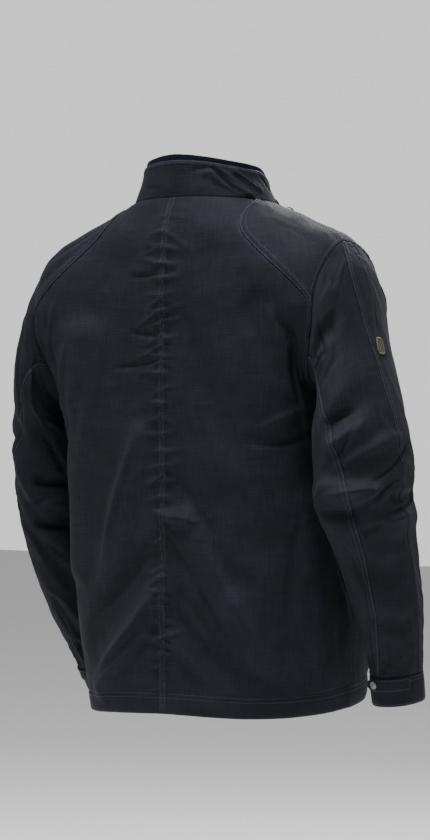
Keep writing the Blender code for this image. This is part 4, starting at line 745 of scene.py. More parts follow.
def even_levels(rows, drop, reach):
    """Levels at parts of the way down the cloth at the centre back or front."""
    levels = np.linspace(0, HEM_LEVEL, 1001)
    table = spline(BODY, levels)
    steps = np.hypot(np.diff(table[:, drop]), np.diff(table[:, reach]))
    lengths = np.concatenate([[0], np.cumsum(steps)])
    return np.interp(rows * lengths[-1], lengths, levels)


YOKE_ROWS, BODY_ROWS = 6, 16  # the solids' rows, in which Edge's first and last are counted


def panel_edge(points, junction, fineness):
    """turn and level down a panel's outer edge: yoke seam, armhole, side seam."""
    columns = abs(UNDERARM - junction)
    seam_parts = np.linspace(0, 1, YOKE_ROWS * fineness + 1)
    loop_columns = junction + (UNDERARM - junction) * np.linspace(0, 1, columns * fineness + 1)[1:]
    below = np.linspace(LOOP_LEVEL + LOOP_HALF, HEM_LEVEL, BODY_ROWS * fineness + 1)[1:]
    seam_turn, seam_level = seam_line(points, junction, seam_parts)
    loop_turn, loop_level = loop_place(loop_columns / LOOP_PIECES)
    turns = np.concatenate([seam_turn, loop_turn, np.full(len(below), SIDE_SEAM)])
    return turns, np.concatenate([seam_level, loop_level, below])


# ---- From surfaces to shells

def lengths_along(points, axis):
    """Distances along a grid of points, from its first row or column."""
    steps = np.linalg.norm(np.diff(points, axis=axis), axis=-1)
    start = np.zeros_like(np.take(steps, [0], axis))
    return np.concatenate([start, np.cumsum(steps, axis=axis)], axis=axis)


def running_length(points):
    """Distances along a line of points, from its first."""
    return np.concatenate([[0], np.cumsum(np.linalg.norm(np.diff(points, axis=0), axis=1))])


def interpolated(at, lengths, points):
    """Points at distances along a line, where lengths are the distances of its own points."""
    return np.stack([np.interp(at, lengths, points[:, axis]) for axis in range(3)], axis=-1)


def column_parts(widths, start_steps, end_steps, cell):
    """Parts of the way across each row: fixed distances near both edges, and even cells between them."""
    count = max(int(round((np.median(widths) - start_steps[-1] - end_steps[-1]) / cell)), 2)
    steps = start_steps / widths[:, None], end_steps / widths[:, None]
    squeeze = np.minimum(1, 0.45 / np.maximum(steps[0][:, -1:], steps[1][:, -1:]))
    left, right = steps[0] * squeeze, 1 - steps[1][:, ::-1] * squeeze
    middle = left[:, -1:] + (right[:, :1] - left[:, -1:]) * np.linspace(0, 1, count + 1)[None, 1:-1]
    return np.concatenate([left, middle, right], axis=1)


# An edge's section in millimetres: the slope of its lap, the width of its rounded rim, how far the rim dips,
# and the grooves that its stitches press in. The dip is small at the top, so that no light comes through the
# neck and armhole seams, and the hem's grooves are wider than a cell.
LAP_SLOPE, RIM_WIDTH, RIM_DIP, TOP_RIM_DIP = 2.5, 1.3, 0.9, 0.2
GROOVE_DEPTH, GROOVE_WIDTH, HEM_GROOVE_WIDTH = 0.8, 0.9, 1.7
SEAM_WAVE = 0.0125  # metres from one wave along a seam to the next


def edge_height(distance, run, edge, seed):
    """How an edge's sewing moves the cloth, from the distance to it and the length along it, in metres."""
    d = distance / MM
    dip = TOP_RIM_DIP if edge.side == "top" else RIM_DIP
    height = (edge.lap * (1 - ease((d - edge.band) / LAP_SLOPE))
              - dip * np.clip(1 - d / RIM_WIDTH, 0, 1) ** 2)
    groove = HEM_GROOVE_WIDTH if edge.side == "bottom" else GROOVE_WIDTH
    for row in edge.rows:
        height -= GROOVE_DEPTH * np.exp(-((d - row) / groove) ** 2)
    if edge.pucker:
        uneven = lambda cell, more: soft_noise(run, distance * 0, cell, 1.0, seed + more)
        wave = np.sin(run * tau / SEAM_WAVE + 2.4 * uneven(0.019, 0)) * (0.65 + 0.5 * uneven(0.027, 1))
        reach = 7 + 6 * (1 + uneven(0.012, 2))
        fade = ease(d / 1.5) * np.clip(1 - d / reach, 0, 1) ** 1.3
        height += edge.pucker * wave * fade
    return height * MM


Shell = namedtuple("Shell", "outer normals distances")


def sewn(points, normals, edges, coarse_rows, seed):
    """Moves a grid of points as its edges' sewing does. Returns the shell with its edge distances."""
    down, across = lengths_along(points, 0), lengths_along(points, 1)
    distances = {"start": across, "end": across[:, -1:] - across, "top": down, "bottom": down[-1:] - down}
    runs = {"start": down[:, :1] + 0 * down, "end": down[:, -1:] + 0 * down,
            "top": across[:1] + 0 * across, "bottom": across[-1:] + 0 * across}
    rows = np.linspace(0, coarse_rows, points.shape[0])[:, None]
    height = np.zeros(points.shape[:2])
    for number, edge in enumerate(edges):
        inside = 1.0
        if edge.side in ("start", "end"):
            inside = ease((rows - edge.first) * 2 + 1) * ease((edge.last - rows) * 2 + 1)
        height += inside * edge_height(distances[edge.side], runs[edge.side], edge, seed + 10 * number)
    return Shell(points + normals * height[..., None], normals, distances)


def grid_faces(rows, columns, closed):
    """Quads of a grid, as vertex numbers."""
    last = columns if closed else columns - 1
    r, c = np.meshgrid(np.arange(rows - 1), np.arange(last), indexing="ij")
    after = (c + 1) % columns
    return np.stack([r * columns + c, r * columns + after, (r + 1) * columns + after, (r + 1) * columns + c],
                    axis=-1).reshape(-1, 4)


def mesh_object(name, points, faces, materials, indices=None, smooth=True):
    """A mesh from arrays: faces is a list of arrays of three or four vertex numbers a row."""
    mesh = bpy.data.meshes.new(name)
    mesh.vertices.add(len(points))
    mesh.vertices.foreach_set("co", np.asarray(points, np.float32).ravel())
    sizes = np.concatenate([np.full(len(part), part.shape[1]) for part in faces])
    mesh.loops.add(int(sizes.sum()))
    mesh.loops.foreach_set("vertex_index", np.concatenate([part.ravel() for part in faces]).astype(np.int32))
    mesh.polygons.add(len(sizes))
    mesh.polygons.foreach_set("loop_start", (np.cumsum(sizes) - sizes).astype(np.int32))
    for material in materials:
        mesh.materials.append(material)
    if indices is not None:
        mesh.polygons.foreach_set("material_index", np.asarray(indices, np.int32))
    mesh.update(calc_edges=True)
    mesh.validate()
    if smooth:
        mesh.shade_smooth()
    made = bpy.data.objects.new(name, mesh)
    bpy.context.scene.collection.objects.link(made)
    return made


def wall_object(name, outer, normals, wall, materials, place, rub, closed=False):
    """A closed wall from a grid of outer points: outer face, inner face and the strip round its rim.
    place is metres across and down the cloth, for the weave, and rub is how worn each point is."""
    rows, columns = outer.shape[:2]
    inner = outer - normals * wall
    quads = grid_faces(rows, columns, closed)
    corner = outer.reshape(-1, 3)[quads]
    facing = np.cross(corner[:, 2] - corner[:, 0], corner[:, 3] - corner[:, 1])
    if (facing * normals.reshape(-1, 3)[quads[:, 0]]).sum() < 0:
        quads = quads[:, ::-1]
    count = rows * columns
    numbers_grid = np.arange(count).reshape(rows, columns)
    if closed:
        loops = [np.append(numbers_grid[row], numbers_grid[row, 0]) for row in (0, -1)]
    else:
        loops = [np.concatenate([numbers_grid[0], numbers_grid[1:, -1], numbers_grid[-1, -2::-1],
                                 numbers_grid[-2::-1, 0]])]
    rims = []
    for loop in loops:
        a, b = loop[:-1], loop[1:]
        forward = directed(quads, a[0], b[0])
        if forward:
            a, b = b, a
        rims.append(np.stack([a, b, b + count, a + count], axis=-1))
    faces = [quads, quads[:, ::-1] + count] + rims
    indices = np.concatenate([np.full(len(quads), 0), np.full(len(quads), 1 if len(materials) > 1 else 0),
                              np.zeros(sum(len(rim) for rim in rims), int)])
    made = mesh_object(name, np.concatenate([outer.reshape(-1, 3), inner.reshape(-1, 3)]), faces, materials,
                       indices)
    across, down = place
    flat = np.stack([across + 0 * rub, down + 0 * rub, 0 * rub], axis=-1).reshape(-1, 3)
    weave = made.data.attributes.new("cloth_place", "FLOAT_VECTOR", "POINT")
    weave.data.foreach_set("vector", np.concatenate([flat, flat]).astype(np.float32).ravel())
    worn = made.data.attributes.new("rub", "FLOAT", "POINT")
    worn.data.foreach_set("value", np.concatenate([rub.ravel(), 0 * rub.ravel()]).astype(np.float32))
    return made


def directed(quads, a, b):
    """Whether a quad goes from a to b, rather than from b to a."""
    following = np.roll(quads, -1, axis=1)
    return bool(((quads == a) & (following == b)).any())


CREST_RUB, EDGE_RUB, FULL_CREST = 0.15, 0.9, 0.004  # the last is in metres


def rub_of(shell, height, edges):
    """How worn each point is, from 0 to 1: crests and sewn edges rub first."""
    worn = np.clip(height / FULL_CREST, 0, 1) * CREST_RUB
    for edge in edges:
        if edge.lap > 0:
            distance = shell.distances[edge.side] / MM
            worn = np.maximum(worn, EDGE_RUB * np.exp(-((distance - 1.0) / 1.6) ** 2))
    return np.clip(worn, 0, 1)


STITCH_ROWS = []  # each row of stitches to be sewn: its points, its normals


def add_stitch_rows(shell, edges, coarse_rows):
    """Notes the lines on the shell that its edges' stitch rows follow."""
    rows = np.linspace(0, coarse_rows, shell.outer.shape[0])
    for edge in edges:
        distance = shell.distances[edge.side]
        for offset in edge.rows:
            if edge.side in ("start", "end"):
                lines = [row for row in range(len(rows)) if edge.first <= rows[row] <= edge.last]
                picked = [(distance[row], shell.outer[row], shell.normals[row]) for row in lines]
            else:
                picked = [(distance[:, column], shell.outer[:, column], shell.normals[:, column])
                          for column in range(distance.shape[1])]
            path, normals = [], []
            for line, points, its_normals in picked:
                order = np.argsort(line)
                path.append(interpolated(offset * MM, line[order], points[order]))
                normals.append(interpolated(offset * MM, line[order], its_normals[order]))
            STITCH_ROWS.append((np.array(path), unit(np.array(normals))))


def stitch_mesh(path, normals):
    """Stitches along a path: spindles that dip into the cloth at both ends."""
    sizes = settings("jacket_stitch")
    lengths = running_length(path)
    pitch = sizes.length + sizes.gap
    count = int((lengths[-1] - sizes.gap) / pitch)
    if count < 1:
        return None
    starts = sizes.gap + np.arange(count) * pitch
    begin, end = (interpolated(at, lengths, path) for at in (starts, starts + sizes.length))
    up = unit(interpolated(starts + sizes.length / 2, lengths, normals))
    forward = unit(end - begin)
    side = np.cross(up, forward)
    radius = sizes.thread / 2
    points = [begin - up * radius * 0.7]
    for part in (0.2, 0.8):
        centre = begin + (end - begin) * part + up * radius * 0.35
        for angle in (0, 1, 2, 3):
            turn = tau * (angle + 0.5) / 4
            points.append(centre + radius * (side * cos(turn) + up * sin(turn)))
    points.append(end - up * radius * 0.7)
    grid = np.stack(points, axis=1).reshape(-1, 3)
    tips = [(0, 1 + (k + 1) % 4, 1 + k) for k in range(4)] + [(9, 5 + k, 5 + (k + 1) % 4) for k in range(4)]
    sides = [(1 + k, 1 + (k + 1) % 4, 5 + (k + 1) % 4, 5 + k) for k in range(4)]
    first = (np.arange(count) * 10)[:, None, None]
    return (grid, (np.array(tips) + first).reshape(-1, 3), (np.array(sides) + first).reshape(-1, 4))


# ---- Materials

def linear(code):
    """sRGB hex to linear RGBA."""
    values = [int(code[place:place + 2], 16) / 255 for place in (0, 2, 4)]
    return (*[v / 12.92 if v <= 0.04045 else ((v + 0.055) / 1.055) ** 2.4 for v in values], 1.0)


def node(tree, kind, values=None, **options):
    """Adds a node. values gives its inputs' numbers or the sockets linked to them."""
    made = tree.nodes.new(kind)
    for option, value in options.items():
        setattr(made, option, value)
    for name, value in (values or {}).items():
        if isinstance(value, bpy.types.NodeSocket):
            tree.links.new(value, made.inputs[name])
        else:
            made.inputs[name].default_value = value
    return made


def new_material(name):
    """An empty material with its shader: returns it, its tree and the shader."""
    made = bpy.data.materials.get(name)
    if made is not None:
        bpy.data.materials.remove(made)
    made = bpy.data.materials.new(name)
    made.use_nodes = True
    return made, made.node_tree, made.node_tree.nodes["Principled BSDF"]


def mixed(tree, part, first, second):
    """The colour between two."""
    made = node(tree, "ShaderNodeMix", data_type="RGBA")
    for socket, value in ((made.inputs[0], part), (made.inputs[6], first), (made.inputs[7], second)):
        if isinstance(value, bpy.types.NodeSocket):
            tree.links.new(value, socket)
        else:
            socket.default_value = value
    return made.outputs[2]


# Sizes in metres: a slub's across the cloth and down it, the cloudy tone's, and the rubbed specks'
WARP_SLUB, WEFT_SLUB, CLOUD, SPECK = (0.0022, 0.030), (0.034, 0.0020), 0.055, 0.0035


def woven(name, ground, worn, thread, roughness, sheen, relief=0.4, mottle=0.22):
    """Woven cotton. ground and worn are sRGB hex colours, thread the spacing of its threads in metres."""
    made, tree, shader = new_material(name)
    place = node(tree, "ShaderNodeAttribute", attribute_name="cloth_place")
    rub = node(tree, "ShaderNodeAttribute", attribute_name="rub")
    point = place.outputs["Vector"]
    # Slubs: threads that are thicker for a few centimetres, both ways
    across, down = (
        node(tree, "ShaderNodeMapping", {"Vector": point, "Scale": (1 / size[0], 1 / size[1], 1)})
        for size in (WARP_SLUB, WEFT_SLUB))
    warp, weft = (
        node(tree, "ShaderNodeTexNoise", {"Vector": scaled.outputs[0], "Scale": 1.0, "Detail": 2.0})
        for scaled in (across, down))
    slub = node(tree, "ShaderNodeMath", {0: warp.outputs["Fac"], 1: weft.outputs["Fac"]}, operation="ADD")
    cloud = node(tree, "ShaderNodeTexNoise", {"Vector": point, "Scale": 1 / CLOUD, "Detail": 4.0,
                                             "Roughness": 0.62})
    grain = node(tree, "ShaderNodeTexNoise", {"Vector": point, "Scale": 1 / SPECK, "Detail": 3.0})
    # The weave itself, finer than a pixel from a step away
    warp_wave, weft_wave = (
        node(tree, "ShaderNodeTexWave", {"Vector": point, "Scale": 1 / (thread * 20), "Distortion": 0.6},
             bands_direction=direction) for direction in "XY")
    weave = node(tree, "ShaderNodeMath", {0: warp_wave.outputs["Fac"], 1: weft_wave.outputs["Fac"]},
                 operation="MULTIPLY")
    tone = node(tree, "ShaderNodeMapRange", {"Value": cloud.outputs["Fac"], "From Min": 0.30,
                                             "From Max": 0.70, "To Min": 1 - mottle, "To Max": 1 + mottle})
    thread_tone = node(tree, "ShaderNodeMapRange", {"Value": slub.outputs[0], "From Min": 0.7,
                                                    "From Max": 1.3, "To Min": 0.78, "To Max": 1.24})
    both = node(tree, "ShaderNodeMath", {0: tone.outputs[0], 1: thread_tone.outputs[0]}, operation="MULTIPLY")
    rubbed = node(tree, "ShaderNodeMapRange", {"Value": grain.outputs["Fac"], "From Min": 0.35,
                                               "From Max": 0.70, "To Min": 0.35, "To Max": 1.0})
    amount = node(tree, "ShaderNodeMath", {0: rub.outputs["Fac"], 1: rubbed.outputs[0]}, operation="MULTIPLY")
    colour = mixed(tree, amount.outputs[0], linear(ground), linear(worn))
    shade = node(tree, "ShaderNodeHueSaturation", {"Color": colour, "Value": both.outputs[0]})
    tree.links.new(shade.outputs[0], shader.inputs["Base Color"])
    gloss = node(tree, "ShaderNodeMapRange", {"Value": cloud.outputs["Fac"], "From Min": 0.3, "From Max": 0.7,
                                              "To Min": roughness - 0.07, "To Max": roughness + 0.07})
    tree.links.new(gloss.outputs[0], shader.inputs["Roughness"])
    deep = node(tree, "ShaderNodeBump", {"Height": slub.outputs[0], "Strength": relief,
                                         "Distance": 0.35 * MM})
    fine = node(tree, "ShaderNodeBump", {"Height": weave.outputs[0], "Strength": relief,
                                         "Distance": 0.12 * MM, "Normal": deep.outputs[0]})
    tree.links.new(fine.outputs[0], shader.inputs["Normal"])
    shader.inputs["Sheen Weight"].default_value = sheen
    shader.inputs["Sheen Roughness"].default_value = 0.45
    shader.inputs["Sheen Tint"].default_value = (0.62, 0.66, 0.86, 1)
    shader.inputs["IOR"].default_value = 1.45
    shader.inputs["Specular IOR Level"].default_value = 0.08
    return made


def make_materials():
    """All finishes, by name."""
    cloth, stitch, trim = settings("jacket_cloth"), settings("jacket_stitch"), settings("jacket_trim")
    # Dry waxed cotton: tightly woven and coated, so matt, a little uneven, lighter where the wax has cracked
    # or rubbed. Its threads are 0.45 mm apart.
    woven("waxed_cotton", cloth.outside, cloth.worn, 0.45 * MM, 0.74, 0.01)
    # The collar's second layer is the same weight of cotton without wax: darker, and softer at its edges
    woven("brushed_cotton", cloth.inner_collar, cloth.worn, 0.5 * MM, 0.88, 0.02)
    # The cloth behind the waxed cotton, seen through the neck and the hem
    woven("plain_lining_cotton", cloth.inside, cloth.inside, 0.35 * MM, 0.80, 0.05, 0.15, 0.08)
    # The zip's woven polyester tape: tight, with a slight sheen
    woven("polyester_zip_tape", trim.zip_tape, trim.zip_tape, 0.6 * MM, 0.55, 0.05, 0.4, 0.06)
    make_thread("polyester_thread", stitch.colour)
    make_patch_ground("embroidered_patch_ground", trim.patch_ground, trim.patch_thread)
    make_thread("rayon_embroidery_thread", trim.patch_thread)
    make_nickel("nickel_plated_brass", trim.nickel)


def make_thread(name, colour):
    """Spun thread: a satin line along each stitch, and small differences from one stitch to the next."""
    _, tree, shader = new_material(name)
    place = node(tree, "ShaderNodeTexCoord")
    twist = node(tree, "ShaderNodeTexNoise", {"Vector": place.outputs["Object"], "Scale": 1 / 0.004,
                                              "Detail": 1.0})
    tone = node(tree, "ShaderNodeMapRange", {"Value": twist.outputs["Fac"], "From Min": 0.3, "From Max": 0.7,
                                             "To Min": 0.75, "To Max": 1.25})
    shade = node(tree, "ShaderNodeHueSaturation", {"Color": linear(colour), "Value": tone.outputs[0]})
    tree.links.new(shade.outputs[0], shader.inputs["Base Color"])
    ply = node(tree, "ShaderNodeTexNoise", {"Vector": place.outputs["Object"], "Scale": 1 / 0.0003})
    bump = node(tree, "ShaderNodeBump", {"Height": ply.outputs["Fac"], "Strength": 0.3, "Distance": 0.1 * MM})
    tree.links.new(bump.outputs[0], shader.inputs["Normal"])
    shader.inputs["Roughness"].default_value = 0.55
    shader.inputs["Sheen Weight"].default_value = 0.02


def make_patch_ground(name, ground, thread):
    """Twill covered with short diagonal embroidery stitches, 1.1 mm apart, in two colours."""
    _, tree, shader = new_material(name)
    place = node(tree, "ShaderNodeAttribute", attribute_name="cloth_place")
    turned = node(tree, "ShaderNodeMapping", {"Vector": place.outputs["Vector"],
                                              "Rotation": (0, 0, radians(45))})
    rows = node(tree, "ShaderNodeTexWave", {"Vector": turned.outputs[0], "Scale": 1 / (2.2 * MM * 6.3),
                                            "Distortion": 1.0, "Detail": 1.0}, bands_direction="X")
    picked = node(tree, "ShaderNodeMapRange", {"Value": rows.outputs["Fac"], "From Min": 0.55,
                                               "From Max": 0.75, "To Min": 0.0, "To Max": 0.85})
    colour = mixed(tree, picked.outputs[0], linear(ground), linear(thread))
    tree.links.new(colour, shader.inputs["Base Color"])
    bump = node(tree, "ShaderNodeBump", {"Height": rows.outputs["Fac"], "Strength": 0.6,
                                         "Distance": 0.3 * MM})
    tree.links.new(bump.outputs[0], shader.inputs["Normal"])
    shader.inputs["Roughness"].default_value = 0.6
    shader.inputs["Sheen Weight"].default_value = 0.02


def make_nickel(name, colour):
    """Nickel-plated brass, tumbled: bright, with a slight haze and fine scratches from wear."""
    _, tree, shader = new_material(name)
    place = node(tree, "ShaderNodeTexCoord")
    haze = node(tree, "ShaderNodeTexNoise", {"Vector": place.outputs["Object"], "Scale": 1 / 0.003,
                                             "Detail": 4.0})
    tone = node(tree, "ShaderNodeMapRange", {"Value": haze.outputs["Fac"], "From Min": 0.3, "From Max": 0.7,
                                             "To Min": 0.88, "To Max": 1.0})
    shade = node(tree, "ShaderNodeHueSaturation", {"Color": linear(colour), "Value": tone.outputs[0]})
    tree.links.new(shade.outputs[0], shader.inputs["Base Color"])
    dull = node(tree, "ShaderNodeMapRange", {"Value": haze.outputs["Fac"], "To Min": 0.20, "To Max": 0.42})
    tree.links.new(dull.outputs[0], shader.inputs["Roughness"])
    scratch = node(tree, "ShaderNodeTexNoise", {"Vector": place.outputs["Object"], "Scale": 1 / 0.0006})
    bump = node(tree, "ShaderNodeBump", {"Height": scratch.outputs["Fac"], "Strength": 0.12,
                                         "Distance": 0.05 * MM})
    tree.links.new(bump.outputs[0], shader.inputs["Normal"])
    shader.inputs["Metallic"].default_value = 1.0


def material(name):
    return bpy.data.materials[name]


# ---- Pieces

def finish_piece(made, node_name):
    """Names a cloth piece after its solid: it rides on the jacket and stands for its solid, which it hides."""
    made.name = f"{node_name}_cloth"
    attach(made, "jacket")
    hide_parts(node_name)
    return made


def make_shell(name, points, normals, edges, coarse_rows, place, smooth_points, seed):
    """A sewn cloth piece from its grid: sewing, wall, wear and stitch rows."""
    height = ((points - smooth_points) * normals).sum(axis=-1)
    shell = sewn(points, normals, edges, coarse_rows, seed)
    rub = rub_of(shell, height, edges)
    made = wall_object(name, shell.outer, normals, settings("jacket_cloth").wall,
                       [material("waxed_cotton"), material("plain_lining_cotton")], place, rub)
    add_stitch_rows(shell, [edge for edge in edges if edge.rows], coarse_rows)
    finish_piece(made, name)


BACK_EDGES = (
    Edge("start", 0, END, 0.7, 5.5, (4.0,), 0.5),
    Edge("end", 0, 6, -0.5, 2, (), 0.35),
    Edge("end", 6, 12, 0.5, 5, (5.6,), 0.35),
    Edge("end", 12, END, 0.2, 6, (), 0.45),
    Edge("top", 0, END, -0.2, 2, (), 0),
    Edge("bottom", 0, END, 1.1, 25, (22.0, 27.5), 0.3),
)
FRONT_EDGES = (
    Edge("start", 0, 6, -0.5, 2, (), 0.2),
    Edge("start", 6, 15, 0.5, 5, (5.6,), 0.3),
    Edge("start", 15, END, 0.2, 6, (), 0.45),
    Edge("end", 0, END, 0.5, 9, (2.6, 8.2), 0.15),
    Edge("top", 0, END, -0.2, 2, (), 0),
    Edge("bottom", 0, END, 1.1, 25, (22.0, 27.5), 0.3),
)
YOKE_EDGES = (
    Edge("start", 0, END, 1.3, 9, (1.8, 8.2), 0.5),
    Edge("end", 0, END, 1.3, 9, (1.8, 8.2), 0.4),
    Edge("top", 0, END, -0.2, 2, (), 0),
    Edge("bottom", 0, END, 0.5, 5, (5.6,), 0.25),
)


def body_shell(name, sign, turn, level, edges, coarse_rows, seed):
    points = body(sign * turn, level)
    normals = body_normal(sign * turn, level)
    make_shell(name, points, normals, edges, coarse_rows, body_place(sign * turn, level),
               body_smooth(sign * turn, level), seed)


def row_widths(points_at, start, end):
    """Length of each row between its two ends, given as functions of a part of the way across."""
    parts = np.linspace(0, 1, 15)[None, :]
    across = points_at(start[0][:, None] + (end[0] - start[0])[:, None] * parts,
                       start[1][:, None] + (end[1] - start[1])[:, None] * parts)
    return lengths_along(across, 1)[:, -1]


BACK_ROW, FRONT_ROW = 0.0300, 0.0235  # metres in one coarse row of a panel


def make_body_panels():
    cloth = settings("jacket_cloth")
    fineness = int(round(BACK_ROW / cloth.cell))
    for side, sign in SIDES:
        turns, levels = panel_edge(YOKE_BACK, BACK_JUNCTION, fineness)
        inner = even_levels(np.linspace(0, 1, len(turns)), *BACK_DROP_AND_REACH)
        centre = (0 * turns, inner)
        widths = row_widths(body_smooth, centre, (turns, levels))
        parts = column_parts(widths, EDGE_STEPS, EDGE_STEPS, cloth.cell * 1.15)
        turn = parts * turns[:, None]
        level = inner[:, None] + parts * (levels - inner)[:, None]
        body_shell(f"back_{side}", sign, turn, level, BACK_EDGES, 28, 100)

        fineness_front = int(round(FRONT_ROW / cloth.front_cell))
        turns, levels = panel_edge(YOKE_FRONT, FRONT_JUNCTION, fineness_front)
        inner = even_levels(np.linspace(0, 1, len(turns)), *FRONT_DROP_AND_REACH)
        ends = 1 - ZIP_HALF_GAP / spline(BODY_SCALE, inner)[..., 0]
        widths = row_widths(body_smooth, (turns, levels), (ends, inner))
        parts = column_parts(widths, EDGE_STEPS, EDGE_STEPS, cloth.front_cell)
        turn = turns[:, None] + (ends - turns)[:, None] * parts
        level = levels[:, None] + (inner - levels)[:, None] * parts
        body_shell(f"front_{side}", sign, turn, level, FRONT_EDGES, 31, 200)


def make_yokes():
    """A patch between the neck, the armhole's top and the two yoke seams."""
    cloth = settings("jacket_cloth")
    rows = int(round(0.150 / cloth.cell))
    v = np.linspace(0, 1, rows + 1)
    for side, sign in SIDES:
        back_turn, back_level = seam_line(YOKE_BACK, BACK_JUNCTION, v)
        front_turn, front_level = seam_line(YOKE_FRONT, FRONT_JUNCTION, v)
        widths = row_widths(body_smooth, (back_turn, back_level), (front_turn, front_level))
        parts = column_parts(widths, EDGE_STEPS, EDGE_STEPS, cloth.cell)
        down = v[:, None]

        def patch(neck, arm, back, front):
            sides = (1 - down) * neck + down * arm + (1 - parts) * back[:, None] + parts * front[:, None]
            corners = ((1 - down) * ((1 - parts) * back[0] + parts * front[0])
                       + down * ((1 - parts) * back[-1] + parts * front[-1]))
            return sides - corners

        columns = BACK_JUNCTION + (FRONT_JUNCTION - LOOP_PIECES - BACK_JUNCTION) * parts
        arm_turn, arm_level = loop_place(columns / LOOP_PIECES)
        neck_turn = (1 - parts) * back_turn[0] + parts * front_turn[0]
        turn = patch(neck_turn, arm_turn, back_turn, front_turn)
        level = np.maximum(patch(0 * parts, arm_level, back_level, front_level), 0)
        body_shell(f"yoke_{side}", sign, turn, level, YOKE_EDGES, YOKE_ROWS, 300)


SLEEVE_EDGES = {
    "strip": (Edge("start", 0, END, 0.7, 8, (1.8, 7.2), 0.2), Edge("end", 0, END, 0.7, 8, (1.8, 7.2), 0.2),
              Edge("top", 0, END, -0.4, 2, (), 0.2), Edge("bottom", 0, END, -0.4, 2, (), 0)),
    "back": (Edge("start", 0, END, -0.5, 2, (), 0.2), Edge("end", 0, END, -0.4, 2, (), 0.75),
             Edge("top", 0, END, -0.4, 2, (), 0.5), Edge("bottom", 0, END, -0.4, 2, (), 0.5)),
    "under": (Edge("start", 0, END, 0.5, 7, (1.8, 7.2), 0.7), Edge("end", 0, END, -0.5, 2, (), 0.3),
              Edge("top", 0, END, -0.4, 2, (), 0.5), Edge("bottom", 0, END, -0.4, 2, (), 0.5)),
}
SLEEVE_COLUMNS = {"strip": (STRIP_FRONT - LOOP_PIECES, STRIP_BACK), "back": (STRIP_BACK, ELBOW_SEAM),
                  "under": (ELBOW_SEAM, STRIP_FRONT)}


def make_sleeves():
    cloth = settings("jacket_cloth")
    rows = int(round(0.540 / cloth.cell))
    along = np.linspace(0, SLEEVE_RINGS, rows + 1)
    for side, sign in SIDES:
        for kind, (first, last) in SLEEVE_COLUMNS.items():
            ends = [(around_of(side, np.full(len(along), float(column)), along), along)
                    for column in (first, last)]
            smooth = lambda around, level: sleeve_smooth(side, around, level, False)
            widths = row_widths(smooth, *ends)
            parts = column_parts(widths, EDGE_STEPS, EDGE_STEPS, cloth.cell)
            level = along[:, None] + 0 * parts
            around = around_of(side, first + (last - first) * parts, level)
            points = sleeve(side, around, level)
            normals = sleeve_normal(side, around, level)
            place = sign * around * SLEEVE_GIRTH, level * SLEEVE_RING_GAP
            make_shell(f"sleeve_{kind}_{side}", points, normals, SLEEVE_EDGES[kind], 25, place,
                       smooth(around, level), 400)


# Across a cuff band in millimetres: its stitch rows, how padded it is, its rounded rims and its grooves
CUFF_STITCH_ROWS = (2.4, 8.0, 37.2)
CUFF_PADDING, CUFF_RIM, CUFF_RIM_DIP, CUFF_LOW_RIM = 0.5, 1.5, 0.9, 38.5
CUFF_GROOVE_DEPTH, CUFF_GROOVE_WIDTH = 0.5, 1.4
CUFF_WAVES, CUFF_WAVE_HEIGHT, CUFF_WAVE_REACH = 17, 0.35, 7  # gathers at the sleeve's seam


def make_cuffs():
    """Cuff bands: closed rings with a stitched edge at both sides."""
    cloth = settings("jacket_cloth")
    for side, _ in SIDES:
        rows = np.linspace(0, 1, 15)
        columns = np.arange(0, LOOP_PIECES, 0.25)[None, :]
        around = around_of(side, columns, np.array([[float(SLEEVE_RINGS)]]))
        around, along = np.broadcast_arrays(around, SLEEVE_RINGS + rows[:, None])
        points = sleeve_smooth(side, around, along, False)
        normals = sleeve_normal(side, around, along)
        down = rows[:, None] * CUFF_HEIGHT / MM + 0 * around
        height = (CUFF_PADDING - CUFF_RIM_DIP * np.clip(1 - down / CUFF_RIM, 0, 1) ** 2
                  - CUFF_RIM_DIP * np.clip(down - CUFF_LOW_RIM, 0, CUFF_RIM) ** 2 / 2.2)
        for row in CUFF_STITCH_ROWS:
            height = height - CUFF_GROOVE_DEPTH * np.exp(-((down - row) / CUFF_GROOVE_WIDTH) ** 2)
        height = height + (CUFF_WAVE_HEIGHT * np.sin(tau * around * CUFF_WAVES + down * 0.1)
                           * np.exp(-(down / CUFF_WAVE_REACH) ** 2))
        height = height + 0.5 * soft_noise(around * SLEEVE_GIRTH, down * MM, 0.021, 0.016, 41)
        outer = points + normals * (height * MM)[..., None]
        rub = 0.8 * np.exp(-((down - 39.5) / 1.6) ** 2) + 0.5 * np.exp(-((down - 1.0) / 1.5) ** 2)
        made = wall_object(f"cuff_{side}", outer, normals, cloth.wall,
                           [material("waxed_cotton"), material("plain_lining_cotton")],
                           (around * SLEEVE_GIRTH, down * MM), rub, closed=True)
        finish_piece(made, f"cuff_{side}")
        for row in CUFF_STITCH_ROWS:
            part = row * MM / CUFF_HEIGHT * (len(rows) - 1)
            low = int(part)
            ring = outer[low] + (outer[low + 1] - outer[low]) * (part - low)
            STITCH_ROWS.append(tuple(np.concatenate([line, line[:1]]) for line in (ring, normals[low])))


def collar_turns(rows, columns):
    """turn and rise of the collar's points. Its front edges lean apart towards the top."""
    turns = np.linspace(-COLLAR_END_LOW, COLLAR_END_LOW, columns)
    rises = np.linspace(0, 1, rows + 1)[:, None]
    closing = 1 - (1 - COLLAR_END_TOP / COLLAR_END_LOW) * rises * np.abs(turns) ** 6
    return turns * closing, rises + 0 * turns


COLLAR_EDGES = (Edge("top", 0, END, -0.1, 2, (), 0), Edge("bottom", 0, END, 0.9, 5, (4.0,), 0.15),
                Edge("start", 0, END, 0.3, 5, (4.0,), 0), Edge("end", 0, END, 0.3, 5, (4.0,), 0))


